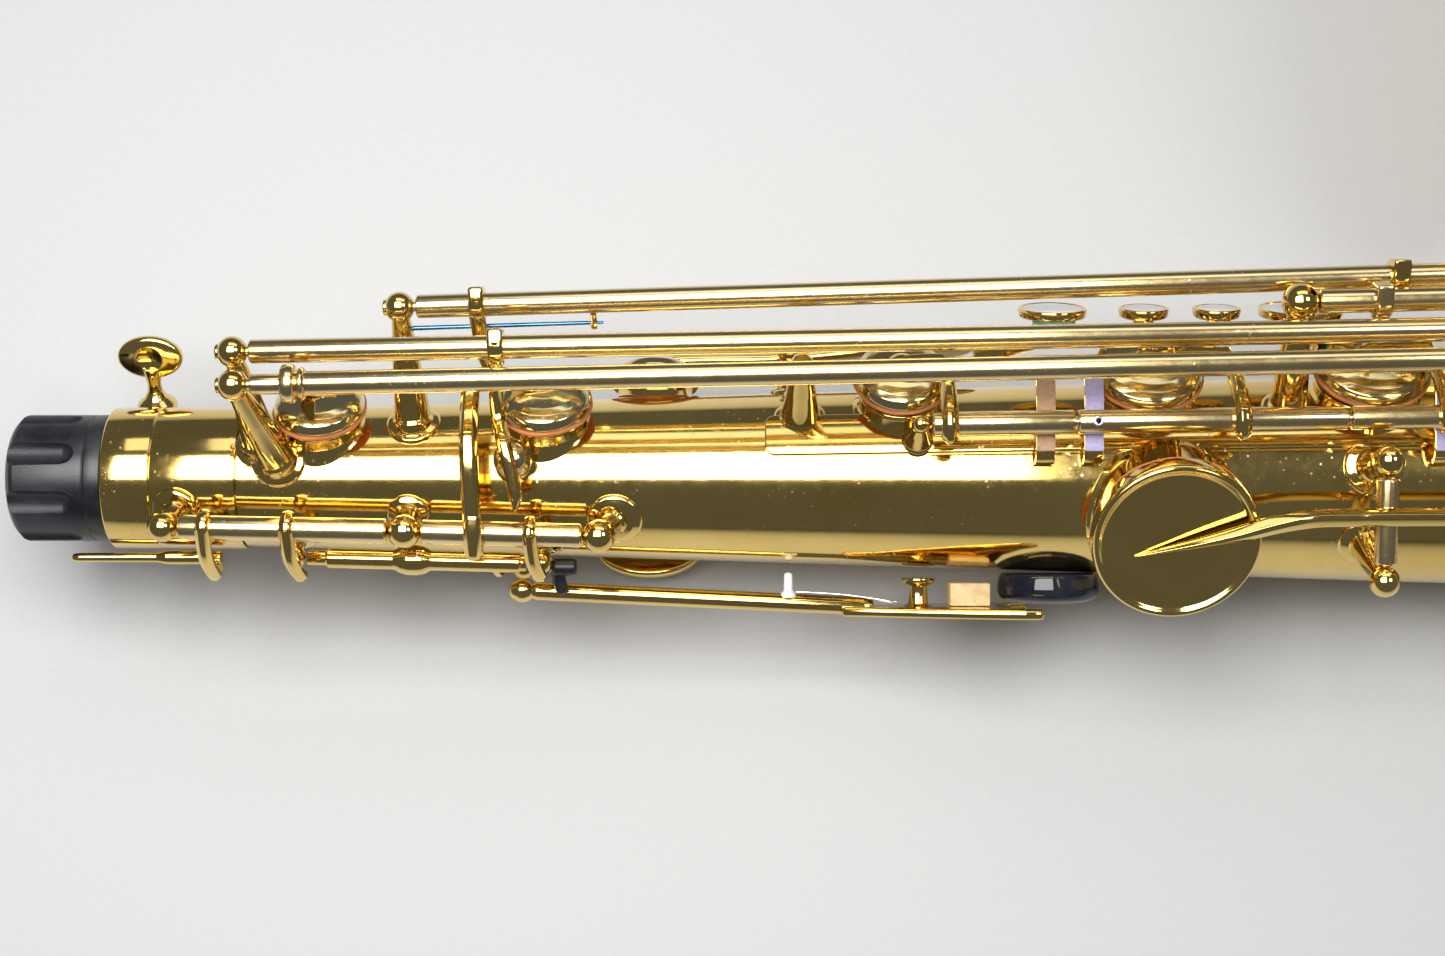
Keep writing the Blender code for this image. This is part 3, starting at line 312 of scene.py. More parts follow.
# %% Lacquered brass
def lacquered(name, deep, pale, smooth, dull, flecks=0.5, lines=(40, 900, 900), line_height=0.0000005):
    made, tree, shader, where = new_finish(name)
    shader.inputs["Metallic"].default_value = 1.0
    shader.inputs["Coat Weight"].default_value = 0.35
    shader.inputs["Coat Roughness"].default_value = 0.06
    shader.inputs["Coat IOR"].default_value = 1.5
    slow = grain(tree, where, 26.0, detail=5.0, rough=0.6)
    fine = grain(tree, where, 420.0, detail=6.0, rough=0.65)
    drawn = grain(tree, where, 1.0, stretch=lines, detail=4.0)
    patch = remap(tree, grain(tree, where, 34.0, detail=4.0, rough=0.7), 0.42, 0.62, 0.0, flecks)
    speck = spots(tree, where, 520.0, 0.20)
    dust = spots(tree, where, 1300.0, 0.13)
    worn = times(tree, times(tree, speck, dust, "ADD"), patch)
    tone = blend_colours(tree, remap(tree, slow, 0.3, 0.7, 0.0, 1.0), deep, pale)
    tone = blend_colours(tree, times(tree, worn, 0.75), tone, (0.92, 0.80, 0.52))
    tree.links.new(tone, shader.inputs["Base Color"])
    even = remap(tree, fine, 0.25, 0.8, smooth, dull)
    rough = times(tree, even, times(tree, worn, 0.35), "ADD")
    tree.links.new(rough, shader.inputs["Roughness"])
    relief = times(tree, times(tree, drawn, 0.5), times(tree, worn, 0.6), "ADD")
    add_bump(tree, shader, relief, line_height)
    return made


FINISH = {}
FINISH["body brass"] = lacquered("body brass", (0.70, 0.475, 0.125), (0.82, 0.61, 0.20), 0.075, 0.15, 0.8)
FINISH["rod brass"] = lacquered("rod brass", (0.74, 0.56, 0.26), (0.82, 0.66, 0.34), 0.16, 0.26, 0.35,
                                (30, 1600, 1600), 0.00000008)
FINISH["key brass"] = lacquered("key brass", (0.72, 0.49, 0.13), (0.84, 0.62, 0.21), 0.06, 0.13, 0.3)
FINISH["cup brass"] = lacquered("cup brass", (0.66, 0.54, 0.26), (0.78, 0.66, 0.36), 0.10, 0.20, 0.5)
FINISH["steel"] = lacquered("steel", (0.56, 0.56, 0.57), (0.70, 0.70, 0.70), 0.16, 0.30, 0.2)
print("brass finishes:", len(FINISH))


# %% [markdown]
# A key pad is felt wrapped in thin tanned leather: orange-brown, with a fine pore pattern, darker blotches
# where it has been damp, and a soft dull sheen. The pores are small cells pressed in as bumps.

# %% Leather, felt and cork
def leather(name, light, dark):
    made, tree, shader, where = new_finish(name)
    blotch = remap(tree, grain(tree, where, 150.0, detail=5.0, rough=0.6), 0.3, 0.72, 0.0, 1.0)
    pores = spots(tree, where, 2600.0, 0.5, 0.1)
    creases = grain(tree, where, 900.0, stretch=(1, 1, 2.4), detail=4.0)
    tone = blend_colours(tree, blotch, light, dark)
    tone = blend_colours(tree, times(tree, pores, 0.28), tone, (0.10, 0.03, 0.01))
    tree.links.new(tone, shader.inputs["Base Color"])
    tree.links.new(remap(tree, creases, 0.3, 0.7, 0.42, 0.66), shader.inputs["Roughness"])
    shader.inputs["Sheen Weight"].default_value = 0.15
    shader.inputs["Sheen Roughness"].default_value = 0.4
    shader.inputs["Specular IOR Level"].default_value = 0.45
    add_bump(tree, shader, times(tree, times(tree, creases, 0.6), pores, "SUBTRACT"), 0.00006, 0.6)
    return made


def felt(name, light, dark):
    made, tree, shader, where = new_finish(name)
    matted = grain(tree, where, 1500.0, detail=8.0, rough=0.75)
    fibres = grain(tree, where, 1.0, stretch=(900, 4200, 2600), detail=5.0, rough=0.7)
    tree.links.new(blend_colours(tree, remap(tree, matted, 0.3, 0.7, 0, 1), dark, light), shader.inputs["Base Color"])
    tree.links.new(remap(tree, fibres, 0.3, 0.7, 0.85, 1.0), shader.inputs["Roughness"])
    shader.inputs["Sheen Weight"].default_value = 0.6
    shader.inputs["Sheen Roughness"].default_value = 0.5
    shader.inputs["Specular IOR Level"].default_value = 0.15
    add_bump(tree, shader, times(tree, matted, fibres), 0.0003, 0.8)
    return made


def cork(name):
    made, tree, shader, where = new_finish(name)
    slabs = grain(tree, where, 330.0, stretch=(1, 1, 2), detail=6.0, rough=0.7)
    pits = spots(tree, where, 820.0, 0.26, 0.3)
    patch = remap(tree, grain(tree, where, 300.0), 0.5, 0.62, 0.0, 1.0)
    hole = times(tree, pits, patch)
    tone = blend_colours(tree, remap(tree, slabs, 0.3, 0.7, 0, 1), (0.47, 0.33, 0.16), (0.70, 0.56, 0.34))
    tree.links.new(blend_colours(tree, hole, tone, (0.09, 0.045, 0.02)), shader.inputs["Base Color"])
    tree.links.new(remap(tree, slabs, 0.3, 0.7, 0.75, 0.95), shader.inputs["Roughness"])
    shader.inputs["Specular IOR Level"].default_value = 0.25
    add_bump(tree, shader, times(tree, slabs, hole, "SUBTRACT"), 0.00025, 0.7)
    return made


FINISH["pad leather"] = leather("pad leather", (0.62, 0.235, 0.07), (0.36, 0.10, 0.03))
FINISH["green felt"] = felt("green felt", (0.03, 0.30, 0.16), (0.008, 0.12, 0.06))
FINISH["lavender felt"] = felt("lavender felt", (0.52, 0.48, 0.72), (0.30, 0.27, 0.46))
FINISH["tan felt"] = felt("tan felt", (0.56, 0.36, 0.22), (0.33, 0.19, 0.10))
FINISH["cork"] = cork("cork")
print("soft finishes: leather, three felts, cork")


# %% [markdown]
# The end plug is moulded in black plastic with a satin, finely pebbled skin and a few bright rubs from pockets
# and cases. The thumb rest is a different black: polished, almost wet, with hairline scratches.

# %% Black plastics, blued steel, pearl and white rubber
def black_plastic(name, tone, smooth, dull, pebble, scratch):
    made, tree, shader, where = new_finish(name)
    skin = grain(tree, where, 2400.0, detail=4.0, rough=0.6)
    smear = remap(tree, grain(tree, where, 70.0, detail=6.0, rough=0.65), 0.35, 0.7, 0.0, 1.0)
    hair = grain(tree, where, 1.0, stretch=(2400, 120, 300), detail=5.0, rough=0.7)
    rub = remap(tree, hair, 0.60, 0.74, 0.0, scratch)
    lighter = tuple(min(1.0, c * 2.6 + 0.012) for c in tone)
    tree.links.new(blend_colours(tree, times(tree, smear, rub, "ADD"), tone, lighter), shader.inputs["Base Color"])
    tree.links.new(times(tree, remap(tree, smear, 0, 1, smooth, dull), rub, "ADD"), shader.inputs["Roughness"])
    shader.inputs["Specular IOR Level"].default_value = 0.5
    add_bump(tree, shader, times(tree, times(tree, skin, 0.8), rub, "SUBTRACT"), pebble)
    return made


def blued_steel(name):
    made, tree, shader, where = new_finish(name)
    bands = remap(tree, grain(tree, where, 90.0, detail=4.0), 0.35, 0.65, 0.0, 1.0)
    shader.inputs["Metallic"].default_value = 1.0
    tree.links.new(blend_colours(tree, bands, (0.05, 0.16, 0.42), (0.12, 0.30, 0.62)), shader.inputs["Base Color"])
    tree.links.new(remap(tree, grain(tree, where, 1500.0), 0.3, 0.7, 0.18, 0.34), shader.inputs["Roughness"])
    add_bump(tree, shader, grain(tree, where, 2500.0), 0.000004)
    return made


def pearl(name):
    made, tree, shader, where = new_finish(name)
    clouds = remap(tree, grain(tree, where, 190.0, stretch=(1, 1.6, 1), detail=5.0, rough=0.6), 0.3, 0.7, 0.0, 1.0)
    veins = remap(tree, grain(tree, where, 420.0, detail=3.0), 0.4, 0.6, 0.0, 1.0)
    tone = blend_colours(tree, clouds, (0.80, 0.78, 0.76), (0.70, 0.78, 0.80))
    tree.links.new(blend_colours(tree, times(tree, veins, 0.45), tone, (0.86, 0.76, 0.78)), shader.inputs["Base Color"])
    tree.links.new(remap(tree, clouds, 0, 1, 0.12, 0.28), shader.inputs["Roughness"])
    shader.inputs["Coat Weight"].default_value = 0.5
    shader.inputs["Subsurface Weight"].default_value = 0.0
    add_bump(tree, shader, clouds, 0.00001)
    return made


FINISH["satin black"] = black_plastic("satin black", (0.006, 0.0065, 0.009), 0.30, 0.44, 0.00003, 0.18)
FINISH["gloss black"] = black_plastic("gloss black", (0.004, 0.005, 0.010), 0.05, 0.10, 0.000001, 0.10)
FINISH["blued steel"] = blued_steel("blued steel")
FINISH["mother of pearl"] = pearl("mother of pearl")
FINISH["white rubber"] = black_plastic("white rubber", (0.62, 0.61, 0.58), 0.5, 0.6, 0.00002, 0.1)
print("finishes in all:", len(FINISH))


# %% [markdown]
# Most of the instrument is turned, drawn or bent. A turned part is a profile spun round its axis; its corners
# are softened first, as a lathe hand breaks every edge. A bent arm is one section carried along a path. A
# flat part is an outline, thickened, with its edges rounded. Each helper returns a closed shape in the
# instrument's millimetres.

# %% Shaping helpers
def aim_at(start, direction):
    w = Vector(direction).normalized()
    hint = X if abs(w.x) < 0.9 else Vector((0, 1, 0))
    u = (hint - w * hint.dot(w)).normalized()
    return Matrix.Translation(start) @ Matrix((u, w.cross(u), w)).transposed().to_4x4()


def tidy(bm):
    bmesh.ops.remove_doubles(bm, verts=bm.verts, dist=0.0005)
    bmesh.ops.recalc_face_normals(bm, faces=bm.faces)
    return bm


def lathe(start, direction, profile, sides=40, soften=0.2, closed=False):
    """A solid of revolution from (distance along the axis, radius) pairs."""
    bm = bmesh.new()
    spine = [bm.verts.new((r, 0.0, s)) for s, r in profile]
    pairs = list(zip(spine, spine[1:]))
    if closed:
        pairs.append((spine[-1], spine[0]))
    for low, high in pairs:
        bm.edges.new((low, high))
    if soften:
        corners = spine if closed else spine[1:-1]
        bmesh.ops.bevel(bm, geom=corners, offset=soften, segments=2, profile=0.5, affect="VERTICES",
                        clamp_overlap=True, material=-1)
    bmesh.ops.spin(bm, geom=bm.verts[:] + bm.edges[:], cent=(0, 0, 0), axis=(0, 0, 1), angle=2 * math.pi,
                   steps=sides, use_merge=True)
    tidy(bm)
    bm.transform(aim_at(start, direction))
    return bm


def ball(centre, direction, radius):
    bm = bmesh.new()
    bmesh.ops.create_uvsphere(bm, u_segments=28, v_segments=14, radius=radius)
    bm.transform(aim_at(centre, direction))
    return bm


def sweep(frames, outline=None, sides=16, round_edges=0.0):
    """Carries a section through a list of frames. The section is a circle, or an outline of (u, v) points."""
    bm = bmesh.new()
    if outline is None:
        bmesh.ops.create_circle(bm, cap_ends=False, radius=1.0, segments=sides)
    else:
        corners = [bm.verts.new((u, v, 0.0)) for u, v in outline]
        for low, high in zip(corners, corners[1:] + corners[:1]):
            bm.edges.new((low, high))
    bmesh.ops.transform(bm, matrix=frames[0], verts=bm.verts)
    ring = bm.edges[:]
    for before, after in zip(frames, frames[1:]):
        grown = bmesh.ops.extrude_edge_only(bm, edges=ring)["geom"]
        moved = [g for g in grown if isinstance(g, bmesh.types.BMVert)]
        fresh = set(moved)
        ring = [g for g in grown if isinstance(g, bmesh.types.BMEdge) and set(g.verts) <= fresh]
        bmesh.ops.transform(bm, matrix=after @ before.inverted(), verts=moved)
    bmesh.ops.holes_fill(bm, edges=[e for e in bm.edges if e.is_boundary], sides=0)
    bmesh.ops.recalc_face_normals(bm, faces=bm.faces)
    if round_edges:
        sharp = [e for e in bm.edges if e.is_manifold and e.calc_face_angle(0.0) > 0.6]
        bmesh.ops.bevel(bm, geom=sharp, offset=round_edges, segments=2, profile=0.5, affect="EDGES",
                        clamp_overlap=True, material=-1)
    return bm


def smooth_path(points, steps=6):
    """More points on an even curve through the given ones."""
    found = []
    for i in range(len(points) - 1):
        a, b = points[max(i - 1, 0)], points[i]
        c, d = points[i + 1], points[min(i + 2, len(points) - 1)]
        for k in range(steps):
            t = k / steps
            found.append(0.5 * (2 * b + (c - a) * t + (2 * a - 5 * b + 4 * c - d) * t * t
                                + (3 * b - a - 3 * c + d) * t ** 3))
    found.append(points[-1])
    return found


def section_frames(path, faces, wide, thick, taper=None):
    frames = []
    for i, spot in enumerate(path):
        ahead = (path[min(i + 1, len(path) - 1)] - path[max(i - 1, 0)]).normalized()
        face = faces[i] if isinstance(faces, list) else faces
        side = ahead.cross(face).normalized()
        up = side.cross(ahead).normalized()
        size = taper(i / (len(path) - 1)) if taper else (1.0, 1.0)
        frames.append(Matrix.Translation(spot) @ Matrix((side * wide / 2 * size[0], up * thick / 2 * size[1],
                                                         ahead)).transposed().to_4x4())
    return frames


KEEL = [(-1, -1), (1, -1), (1, 0.05), (0.36, 1), (-0.36, 1), (-1, 0.05)]
FLAT = [(-1, -1), (1, -1), (1, 1), (-1, 1)]


def pointed(t):
    if t > 0.86:
        return (max(0.12, 1.0 - (t - 0.86) / 0.15), max(0.35, 1.0 - (t - 0.86) / 0.24))
    return (1.0, 1.0)


def strap(points, faces, wide=3.6, thick=2.2, outline=KEEL, taper=None, steps=5, edge=0.16):
    """A bent arm or strap. faces is the direction its ridge looks, one for all points or one for each."""
    path = smooth_path(points, steps)
    if isinstance(faces, list):
        looks = smooth_path([f.normalized() for f in faces], steps)
    else:
        looks = faces
    return sweep(section_frames(path, looks, wide, thick, taper), outline, round_edges=edge)


def plate(outline, normal, thick, edge=0.35):
    """A flat part from an outline, thickened to both sides, its edges rounded over."""
    bm = bmesh.new()
    half = normal.normalized() * thick / 2
    face = bm.faces.new([bm.verts.new(p - half) for p in outline])
    grown = bmesh.ops.extrude_face_region(bm, geom=[face])["geom"]
    bmesh.ops.translate(bm, verts=[g for g in grown if isinstance(g, bmesh.types.BMVert)], vec=half * 2)
    bmesh.ops.recalc_face_normals(bm, faces=bm.faces)
    if edge:
        rims = [e for e in bm.edges if e.is_manifold and e.calc_face_angle(0.0) > 0.9]
        bmesh.ops.bevel(bm, geom=rims, offset=edge, segments=3, profile=0.5, affect="EDGES",
                        clamp_overlap=True, material=-1)
    return bm


def oval(centre, u, v, ru, rv, sides=40):
    angles = [2 * math.pi * i / sides for i in range(sides)]
    return [centre + u.normalized() * (ru * math.cos(t)) + v.normalized() * (rv * math.sin(t)) for t in angles]


def ring_shape(centre, axis, radius, section, sides=48):
    """A ring of round wire round an axis."""
    k = 10
    loop = [(section * math.sin(2 * math.pi * i / k), radius + section * math.cos(2 * math.pi * i / k))
            for i in range(k)]
    return lathe(centre, axis, loop, sides, 0.0, closed=True)


# %% [markdown]
# Shapes become one piece by joining their meshes. The piece is then turned to its rest angle, if the key
# stands open, moved into the frame and set to ride on its body. It stands for the CAD nodes it improves.

# %% From shapes to a piece
def piece(name, finish, shapes, body, stands_for=(), turn=None, sharp=32.0):
    """turn is (pivot, axis, degrees) from how the key was drawn to how it rests."""
    whole = bmesh.new()
    for shape in shapes:
        carrier = bpy.data.meshes.new("carrier")
        shape.to_mesh(carrier)
        shape.free()
        whole.from_mesh(carrier)
        bpy.data.meshes.remove(carrier)
    if turn:
        pivot, axis, degrees = turn
        spin = Matrix.Rotation(math.radians(degrees), 4, axis)
        whole.transform(Matrix.Translation(pivot) @ spin @ Matrix.Translation(-pivot))
    whole.transform(TO_FRAME)
    mesh = bpy.data.meshes.new(name)
    whole.to_mesh(mesh)
    whole.free()
    for face in mesh.polygons:
        face.use_smooth = True
    mesh.set_sharp_from_angle(angle=math.radians(sharp))
    mesh.materials.append(FINISH[finish])
    made = bpy.data.objects.new(name, mesh)
    bpy.context.scene.collection.objects.link(made)
    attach(made, body)
    for node in stands_for:
        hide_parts(node)
    return made


def cut(target, knives):
    """Cuts closed shapes out of a closed shape and returns what is left."""
    holder = bpy.data.collections.new("knives")
    made = []
    for shape in [target, *knives]:
        mesh = bpy.data.meshes.new("blank")
        shape.to_mesh(mesh)
        shape.free()
        blank = bpy.data.objects.new("blank", mesh)
        (bpy.context.scene.collection if not made else holder).objects.link(blank)
        made.append(blank)
    step = made[0].modifiers.new("cut", "BOOLEAN")
    step.operation = "DIFFERENCE"
    step.operand_type = "COLLECTION"
    step.collection = holder
    step.solver = "EXACT"
    bpy.context.view_layer.update()
    result = bmesh.new()
    result.from_object(made[0], bpy.context.evaluated_depsgraph_get())
    for blank in made:
        bpy.data.objects.remove(blank, do_unlink=True)
    bpy.data.collections.remove(holder)
    return result


# %% [markdown]
# The end plug keeps the octave mechanism safe while the neck is off. It is a moulded cap with eight finger
# flutes that run out into rounded ends, a chamfer at the free end and a plain band next to the socket. A
# turned blank is cut with eight round-nosed cutters, as a milling machine would do it.

# %% End plug
def end_plug():
    cap = lathe(Vector((0, 0, 0)), X, [(-21, 0), (-21, 11.4), (-20.6, 12.2), (-19.6, 13.5), (-18.8, 13.85),
                                       (-4.2, 13.85), (-3.9, 13.6), (-3.6, 13.85), (-0.35, 13.85), (-0.3, 13.2),
                                       (-0.3, 0)], 96, 0.12)
    flutes = []
    for i in range(8):
        start = Vector((-23, 0, 0)) + spoke(22.5 + 45 * i) * 15.6
        flutes.append(lathe(start, X + spoke(22.5 + 45 * i) * 0.012,
                            [(0, 0), (0, 3.4), (14.4, 3.3), (16.0, 2.9), (17.2, 1.9), (17.7, 0.0)], 28, 0.3))
    dish = lathe(Vector((-22, 0, 0)), X, [(0, 0), (0, 9.2), (1.9, 8.8), (1.9, 0)], 48, 0.3)
    shank = lathe(Vector((-0.4, 0, 0)), X, [(0, 0), (0, 13.35), (14.8, 13.35), (16.2, 12.6), (16.2, 0)], 64, 0.3)
    return piece("end_plug_cap", "satin black", [cut(cap, flutes + [dish]), shank], "plug", ["end_plug"],
                 sharp=28)


end_plug()
print("end plug: 8 flutes")


# %% [markdown]
# The neck socket is a thick collar soldered on the tube. It is slit along one side so that a thumb screw
# through two ears can clamp the neck. The screw has a turned shoulder, a thin stem and an oval leaf to grip.

# %% Neck socket and its screw
EAR = -60.0


def neck_socket():
    shell = lathe(Vector((0, 0, 0)), X, [(0, 14.15), (0, 15.0), (0.5, 15.5), (10.5, 15.5), (10.75, 15.2),
                                         (11.0, 15.55), (27.6, 15.6), (29.0, 15.45), (29.0, 14.5), (20, 14.5),
                                         (20, 14.15)], 112, 0.1, closed=True)
    radial, tangent = spoke(EAR), across(EAR)
    corner = Vector((-1, 0, 0)) + radial * 12.5
    slit = plate([corner, corner + X * 13.5, corner + X * 14.3 + radial * 2, corner + X * 14 + radial * 12,
                  corner + radial * 12], tangent, 1.5, 0)
    shapes = [cut(shell, [slit])]
    for side in (-1, 1):
        centre = Vector((5.6, 0, 0)) + radial * 18.0 + tangent * side * 2.9
        outline = [(-3.6, -4.0), (3.6, -4.0), (3.6, 2.0), (3.1, 3.4), (1.9, 4.3), (0, 4.6), (-1.9, 4.3),
                   (-3.1, 3.4), (-3.6, 2.0)]
        shapes.append(plate([centre + X * a + radial * b for a, b in outline], tangent, 4.0, 0.5))
    shapes += post_shapes(Vector((16.2, 0, 0)) + spoke(117) * 15.5, OCTAVE_ROD[0], 3.2, 5.2, 3.4, 1.9)
    return piece("neck_socket_shell", "body brass", shapes, "body", ["neck_socket"])


def socket_screw():
    at, tangent, radial = Vector((5.6, 0, 0)) + spoke(EAR) * 19.0, across(EAR), spoke(EAR)
    stem = lathe(at - tangent * 6.4, tangent, [(0, 0), (0, 1.6), (13.0, 1.6), (13.1, 4.3), (14.6, 4.5), (15.3, 4.2),
                                               (16.6, 2.6), (18.2, 1.75), (20.0, 1.55), (22.0, 1.9), (24.0, 2.2),
                                               (24.6, 0)], 36, 0.25)
    spot = at + tangent * 20.2
    leaf = plate(oval(spot, X, tangent, 7.2, 5.0, 44), radial, 2.3, 0.8)
    hollow = [lathe(spot + radial * side * 7.4, radial * -side, [(0, 0), (0, 6.2), (4.4, 5.6), (6.6, 2.4), (6.75, 0)],
                    36, 0) for side in (-1, 1)]
    return piece("socket_thumb_screw", "key brass", [stem, cut(leaf, hollow)], "socket_screw_body",
                 ["socket_screw"])


# %% [markdown]
# Posts carry the rods. Each is turned in one piece: a thin round flange soldered to the tube, a stem that
# narrows upwards, and a ball that is drilled for the pivot screw. The flange is bent to the tube after
# turning, so its rim lies down all the way round. The screw's slotted head shows at the end of the ball.

# %% Posts, feet and tone holes
def wrap_on_tube(bm, x0, phi0):
    """Bends a shape drawn flat as (along, across, height) on to the tube."""
    for v in bm.verts:
        x, t, h = v.co
        radius = tube_radius(x0 + x)
        v.co = Vector((x0 + x, 0, 0)) + spoke(phi0 + math.degrees(t / radius)) * (radius + h)
    bmesh.ops.recalc_face_normals(bm, faces=bm.faces)
    return bm


def tube_flange(x, phi, radius):
    flange = lathe(Vector((0, 0, 0)), UP, [(-0.5, 0), (-0.5, radius), (0.35, radius), (0.75, radius - 0.5),
                                           (0.9, radius * 0.8), (1.15, radius * 0.66), (1.15, 0)], 48, 0.12)
    return wrap_on_tube(flange, x, phi)


def tube_strip(x0, x1, phi, width, height, corner=2.2, sunk=0.5):
    """A strip of sheet with rounded corners, laid on the tube."""
    long, half = (x1 - x0) / 2, width / 2
    outline = []
    for sx, st, begin in ((1, 1, 0), (-1, 1, 90), (-1, -1, 180), (1, -1, 270)):
        for k in range(6):
            t = math.radians(begin + 18 * k)
            outline.append(Vector((sx * (long - corner) + corner * math.cos(t), st * (half - corner)
                                   + corner * math.sin(t), (height - sunk) / 2)))
    strip = plate(outline, UP, height + sunk, 0.3)
    for k in range(-2, 3):
        bmesh.ops.bisect_plane(strip, geom=strip.verts[:] + strip.edges[:] + strip.faces[:],
                               plane_co=(0, k * half / 3, 0), plane_no=(0, 1, 0))
    return wrap_on_tube(strip, (x0 + x1) / 2, phi)


def screw_head(at, outward, radius=1.7):
    """A slotted screw head: a low dome with a straight slot."""
    dome = lathe(at, outward, [(-0.8, 0), (-0.8, radius), (0.25, radius), (0.5, radius * 0.75), (0.55, 0)], 24, 0.1)
    side = outward.cross(spoke(70)).normalized()
    deep = outward.cross(side).normalized()
    box = [at + outward * 0.45 + side * a + deep * b for a, b in ((-3, -0.22), (3, -0.22), (3, 0.22), (-3, 0.22))]
    return cut(dome, [plate(box, outward, 0.7, 0)])


def post_shapes(foot, top, ball_radius=3.2, foot_radius=5.6, low=3.9, high=2.0, flange=None):
    w = (top - foot).normalized()
    length = (top - foot).length
    shapes = []
    if flange is None:
        shapes.append(lathe(foot, w, [(-1.2, 0), (-1.2, foot_radius), (0.5, foot_radius), (0.9, foot_radius - 0.6),
                                      (1.1, 0)], 44, 0.15))
    else:
        shapes.append(tube_flange(flange[0], flange[1], foot_radius))
    waist = min(low, 1.4 + length * 0.16)
    shapes.append(lathe(foot, w, [(-1.0, 0), (-1.0, waist + 0.5), (1.0, waist + 0.5), (1.6, waist), (length * 0.55,
                                  (waist + high) / 2), (length - ball_radius * 0.8, high), (length - 0.4, high),
                                  (length - 0.4, 0)], 32, 0.2))
    shapes.append(ball(top, w, ball_radius))
    return shapes


def hole_ring(x, phi, radius, height):
    """The rim of a tone hole, drawn up out of the tube: its base follows the tube, its top is flat."""
    a = radius + CHIMNEY_WALL
    ring = lathe(Vector((0, 0, 0)), UP, [(-1.2, a + 1.5), (-0.05, a + 1.5), (0.35, a + 0.6), (1.2, a + 0.1),
                                         (height - 0.7, a), (height - 0.3, a + 0.22), (height, a - 0.05),
                                         (height, radius + 0.2), (height - 0.4, radius), (-1.2, radius)],
                 72, 0.12, closed=True)
    wall = tube_radius(x)
    for v in ring.verts:
        t = min(abs(v.co.y), wall * 0.97)
        v.co.z -= (wall - math.sqrt(wall * wall - t * t)) * (1.0 - min(max(v.co.z / height, 0.0), 1.0))
    ring.transform(Matrix.Translation(place(x, phi, 0)) @ Matrix((X, across(phi), spoke(phi))).transposed().to_4x4())
    bmesh.ops.recalc_face_normals(ring, faces=ring.faces)
    return ring


# %% [markdown]
# The rods of this instrument, each given by the points where its two pivots sit, and the tone holes of the
# tube: distance, angle, radius and height. They are the CAD part's own numbers.

# %% Where the rods and tone holes are
ROD_A = (Vector((65, 36, 20)), Vector((440, 47.0, 26.8)))
ROD_B = (Vector((32, 26, 30)), Vector((330, 31.2, 34.8)))
ROD_C = (Vector((33, 19, 34)), place(440, 56.0, 21.2))
ROD_D = (Vector((174.2, 11.2, 26.4)), Vector((335, 13.4, 31.2)))
OCTAVE_ROD = (Vector((15, -10.3, 20)), Vector((66, -11.2, 20.4)), Vector((107, -12.2, 20.8)))
ROCKER_ROD = (Vector((41, -17.0, 11.0)), Vector((94, -18.3, 11.6)))
LOWER_ROD = (place(350, 58, 9), place(540, 58, 9))
EB_ROD = (place(547, 52, 9), place(606, 52, 9))
C_ROD = (Vector((640, -16, 42)), Vector((716, -16, 42)))
BELL_ROD = (bell_place(600, -3) + BELL_FRONT * -38, bell_place(436, -3) + BELL_FRONT * -38)
SIDE_PIVOT = (Vector((269.4, 3.5, 33)), Vector((269.4, -21.4, 30)))
GS_ROD = (place(296, -78, 9), place(346, -78, 9))
TABLE_ROD = (place(352, -62, 9), place(372, -62, 9))
CS_ROD = (Vector((628, 92, -40)), Vector((560, 96, -41)))
STACK_CUPS = {"key_b": (171.0, 7.4, 180.0), "key_a": (223.0, 9.0, 240.0), "key_g": (270.0, 9.7, 282.0)}
LOWER_CUPS = {"key_f_sharp": (374.0, 13.0), "key_f": (418.0, 14.0), "key_e": (464.0, 15.0), "key_d": (513.0, 16.0)}
PALM_KEYS = {"palm_d": (148.0, -20.0, 190.0), "palm_e_flat": (122.0, -70.0, 160.0), "palm_f": (88.0, -124.0, 128.0)}
HOLES = {
    "high_f_sharp": (47.0, 42.0, 7.2, 3.2),
    "high_e": (95.0, 42.0, 7.6, 3.2),
    "octave_vent": (89.0, 80.0, 1.6, 4.0),
    "side_b_flat": (227.0, 115.0, 14.6, 5.0),
    "g_sharp": (318.0, -42.0, 11.5, CHIMNEY),
    "low_e_flat": (577.0, 98.0, 14.0, CHIMNEY),
    "palm_d": (118.0, -20.0, 7.0, CHIMNEY),
    "palm_e_flat": (92.0, -70.0, 7.0, CHIMNEY),
    "palm_f": (55.0, -124.0, 6.5, CHIMNEY),
}
for name, (x, radius, arm) in STACK_CUPS.items():
    HOLES[name] = (x, 38.0, radius, CHIMNEY)
for name, (x, radius) in LOWER_CUPS.items():
    HOLES[name] = (x, 20.0, radius, CHIMNEY)
print("tone holes on the tube:", len(HOLES))


def palm_pivot(name):
    x, phi, _ = PALM_KEYS[name]
    middle = place(x, phi, 7.5)
    return middle - across(phi) * 8.0, middle + across(phi) * 8.0


# %% [markdown]
# The body tube is a long cone of thin sheet. Its tone holes are drawn up out of the wall, so each needs a
# real opening. A double-walled cone is turned, the openings are bored through it, and the drawn rims are
# added. Straps of thicker sheet carry the stack posts.

